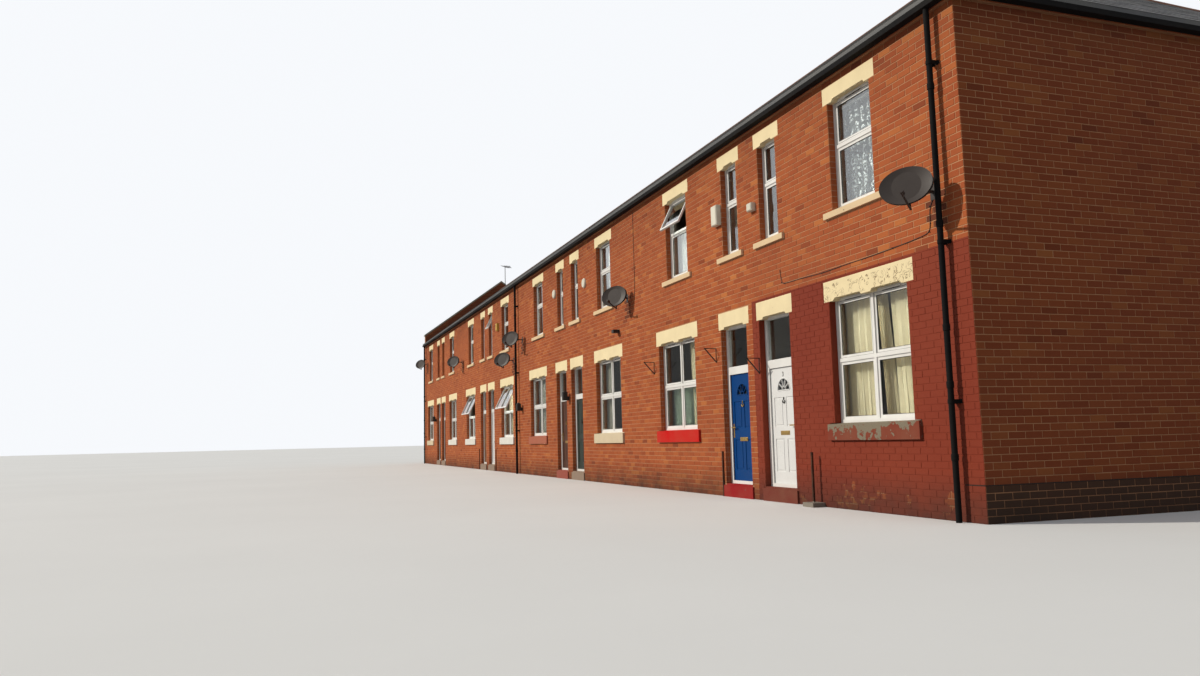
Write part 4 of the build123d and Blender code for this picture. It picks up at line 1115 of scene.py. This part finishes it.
for name, line in cable_lines.items():
    cable = bpy.data.curves.new(name, "CURVE")
    cable.dimensions = "3D"
    cable.bevel_depth = cable_radius
    cable.bevel_resolution = 3
    spline = cable.splines.new("NURBS")
    spline.points.add(len(line) - 1)
    for point, (inset, height) in zip(spline.points, line):
        point.co = (near_x - inset, front_y - cable_out, height, 1)
    spline.order_u = 3
    spline.use_endpoint_u = True
    cable.materials.append(cable_black)
    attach(place_object(name, cable), "row_body")
    for inset, height in line[1:-1]:
        x = near_x - inset
        clip_low = (x - 0.005, front_y - 0.016, height - 0.006)
        cable_clips.append((clip_low, (x + 0.005, front_y - 0.003, height + 0.006)))
box_piece("cable_clips", cable_clips, cable_black, edge=0.001)

# Floors and ceilings: a concrete slab at the ground, boards upstairs, and plaster
# under the roof. They show only through panes and open doors.
floor_concrete = weathered("floor_concrete", (0.33, 0.31, 0.28), (0.2, 0.18, 0.16), 0.8)
floor_boards = weathered("floor_boards", (0.3, 0.18, 0.09), (0.16, 0.09, 0.05), 0.6)
ceiling_plaster = weathered("ceiling_plaster", (0.72, 0.7, 0.66), (0.5, 0.47, 0.42), 0.8)
dress(floor_concrete, "ground_floors")
dress(floor_boards, "upper_floors")
dress(ceiling_plaster, "bedroom_ceilings")

# Staging: a pale floor, which lights the walls from below less than it would when seen,
# soft daylight with a low sun, and a dimmed horizon for what panes mirror.
stage_floor, tree, shader = finish_material("stage_floor", Roughness=0.9)
ray = add_node(tree, "ShaderNodeLightPath").outputs
stains, grains = weather_marks(tree, 6.0, 0.3)
pale = mix_colour(tree, stains, (0.72, 0.72, 0.71), (0.76, 0.76, 0.75))
direct = either(tree, ray["Is Camera Ray"], ray["Is Glossy Ray"])
tree.links.new(mix_colour(tree, direct, (0.24, 0.23, 0.22), pale), shader.inputs["Base Color"])

floor_half = 400
corners = [(-1, -1), (1, -1), (1, 1), (-1, 1)]
floor_mesh = bpy.data.meshes.new("floor")
floor_mesh.from_pydata([(floor_half * x, floor_half * y, 0) for x, y in corners], [], [range(4)])
floor_mesh.materials.append(stage_floor)
place_object("floor", floor_mesh)

world = bpy.data.worlds.new("daylight")
bpy.context.scene.world = world
world.use_nodes = True
tree = world.node_tree
sky = tree.nodes["Background"]
sky.inputs["Color"].default_value = (0.9, 0.94, 1.0, 1)
sky.inputs["Strength"].default_value = 0.42
ray = add_node(tree, "ShaderNodeLightPath").outputs
heading = add_node(tree, "ShaderNodeTexCoord").outputs["Generated"]
rise = add_node(tree, "ShaderNodeSeparateXYZ", {0: heading}).outputs["Z"]
dimmed = map_range(tree, rise, 0.12, 0.18, 0.12, 1.0)
strength = maths(tree, "MAXIMUM", ray["Is Camera Ray"], dimmed)
backdrop = {"Color": (0.93, 0.95, 0.98, 1), "Strength": strength}
seen = add_node(tree, "ShaderNodeBackground", backdrop).outputs[0]
direct = either(tree, ray["Is Camera Ray"], ray["Is Glossy Ray"], ray["Is Transmission Ray"])
choice = add_node(tree, "ShaderNodeMixShader", {0: direct, 1: sky.outputs[0], 2: seen})
tree.links.new(choice.outputs[0], tree.nodes["World Output"].inputs["Surface"])

sun_data = bpy.data.lights.new("sun", "SUN")
sun_data.energy = 2.9
sun_data.angle = radians(1)
sun_data.color = (1.0, 0.94, 0.83)
sun_direction = Vector((0.5, 1.0, -0.65))
place_object("sun", sun_data).rotation_euler = sun_direction.to_track_quat("-Z", "Y").to_euler()

# Camera: out in front of the near corner and a metre above the ground, looking along
# the row.
image_width = 1200
focal_pixels = 918
sensor_width = 36
yaw, pitch, roll = radians(19.48), radians(6.29), radians(-1.38)
camera_place = Vector((near_x + 7.98, front_y - 7.14, 1.0))
forward = Vector((-cos(yaw) * cos(pitch), sin(yaw) * cos(pitch), sin(pitch)))
level = forward.cross(Vector((0, 0, 1))).normalized()
upward = level.cross(forward)
right = level * cos(roll) + upward * sin(roll)
upward = upward * cos(roll) - level * sin(roll)
camera_data = bpy.data.cameras.new("camera")
camera_data.sensor_width = sensor_width
camera_data.lens = sensor_width * focal_pixels / image_width
camera_data.clip_end = 1000
camera = place_object("camera", camera_data)
axes = Matrix((right, upward, -forward)).transposed()
camera.matrix_world = Matrix.Translation(camera_place) @ axes.to_4x4()
bpy.context.scene.camera = camera
bpy.context.scene.view_settings.view_transform = "Standard"
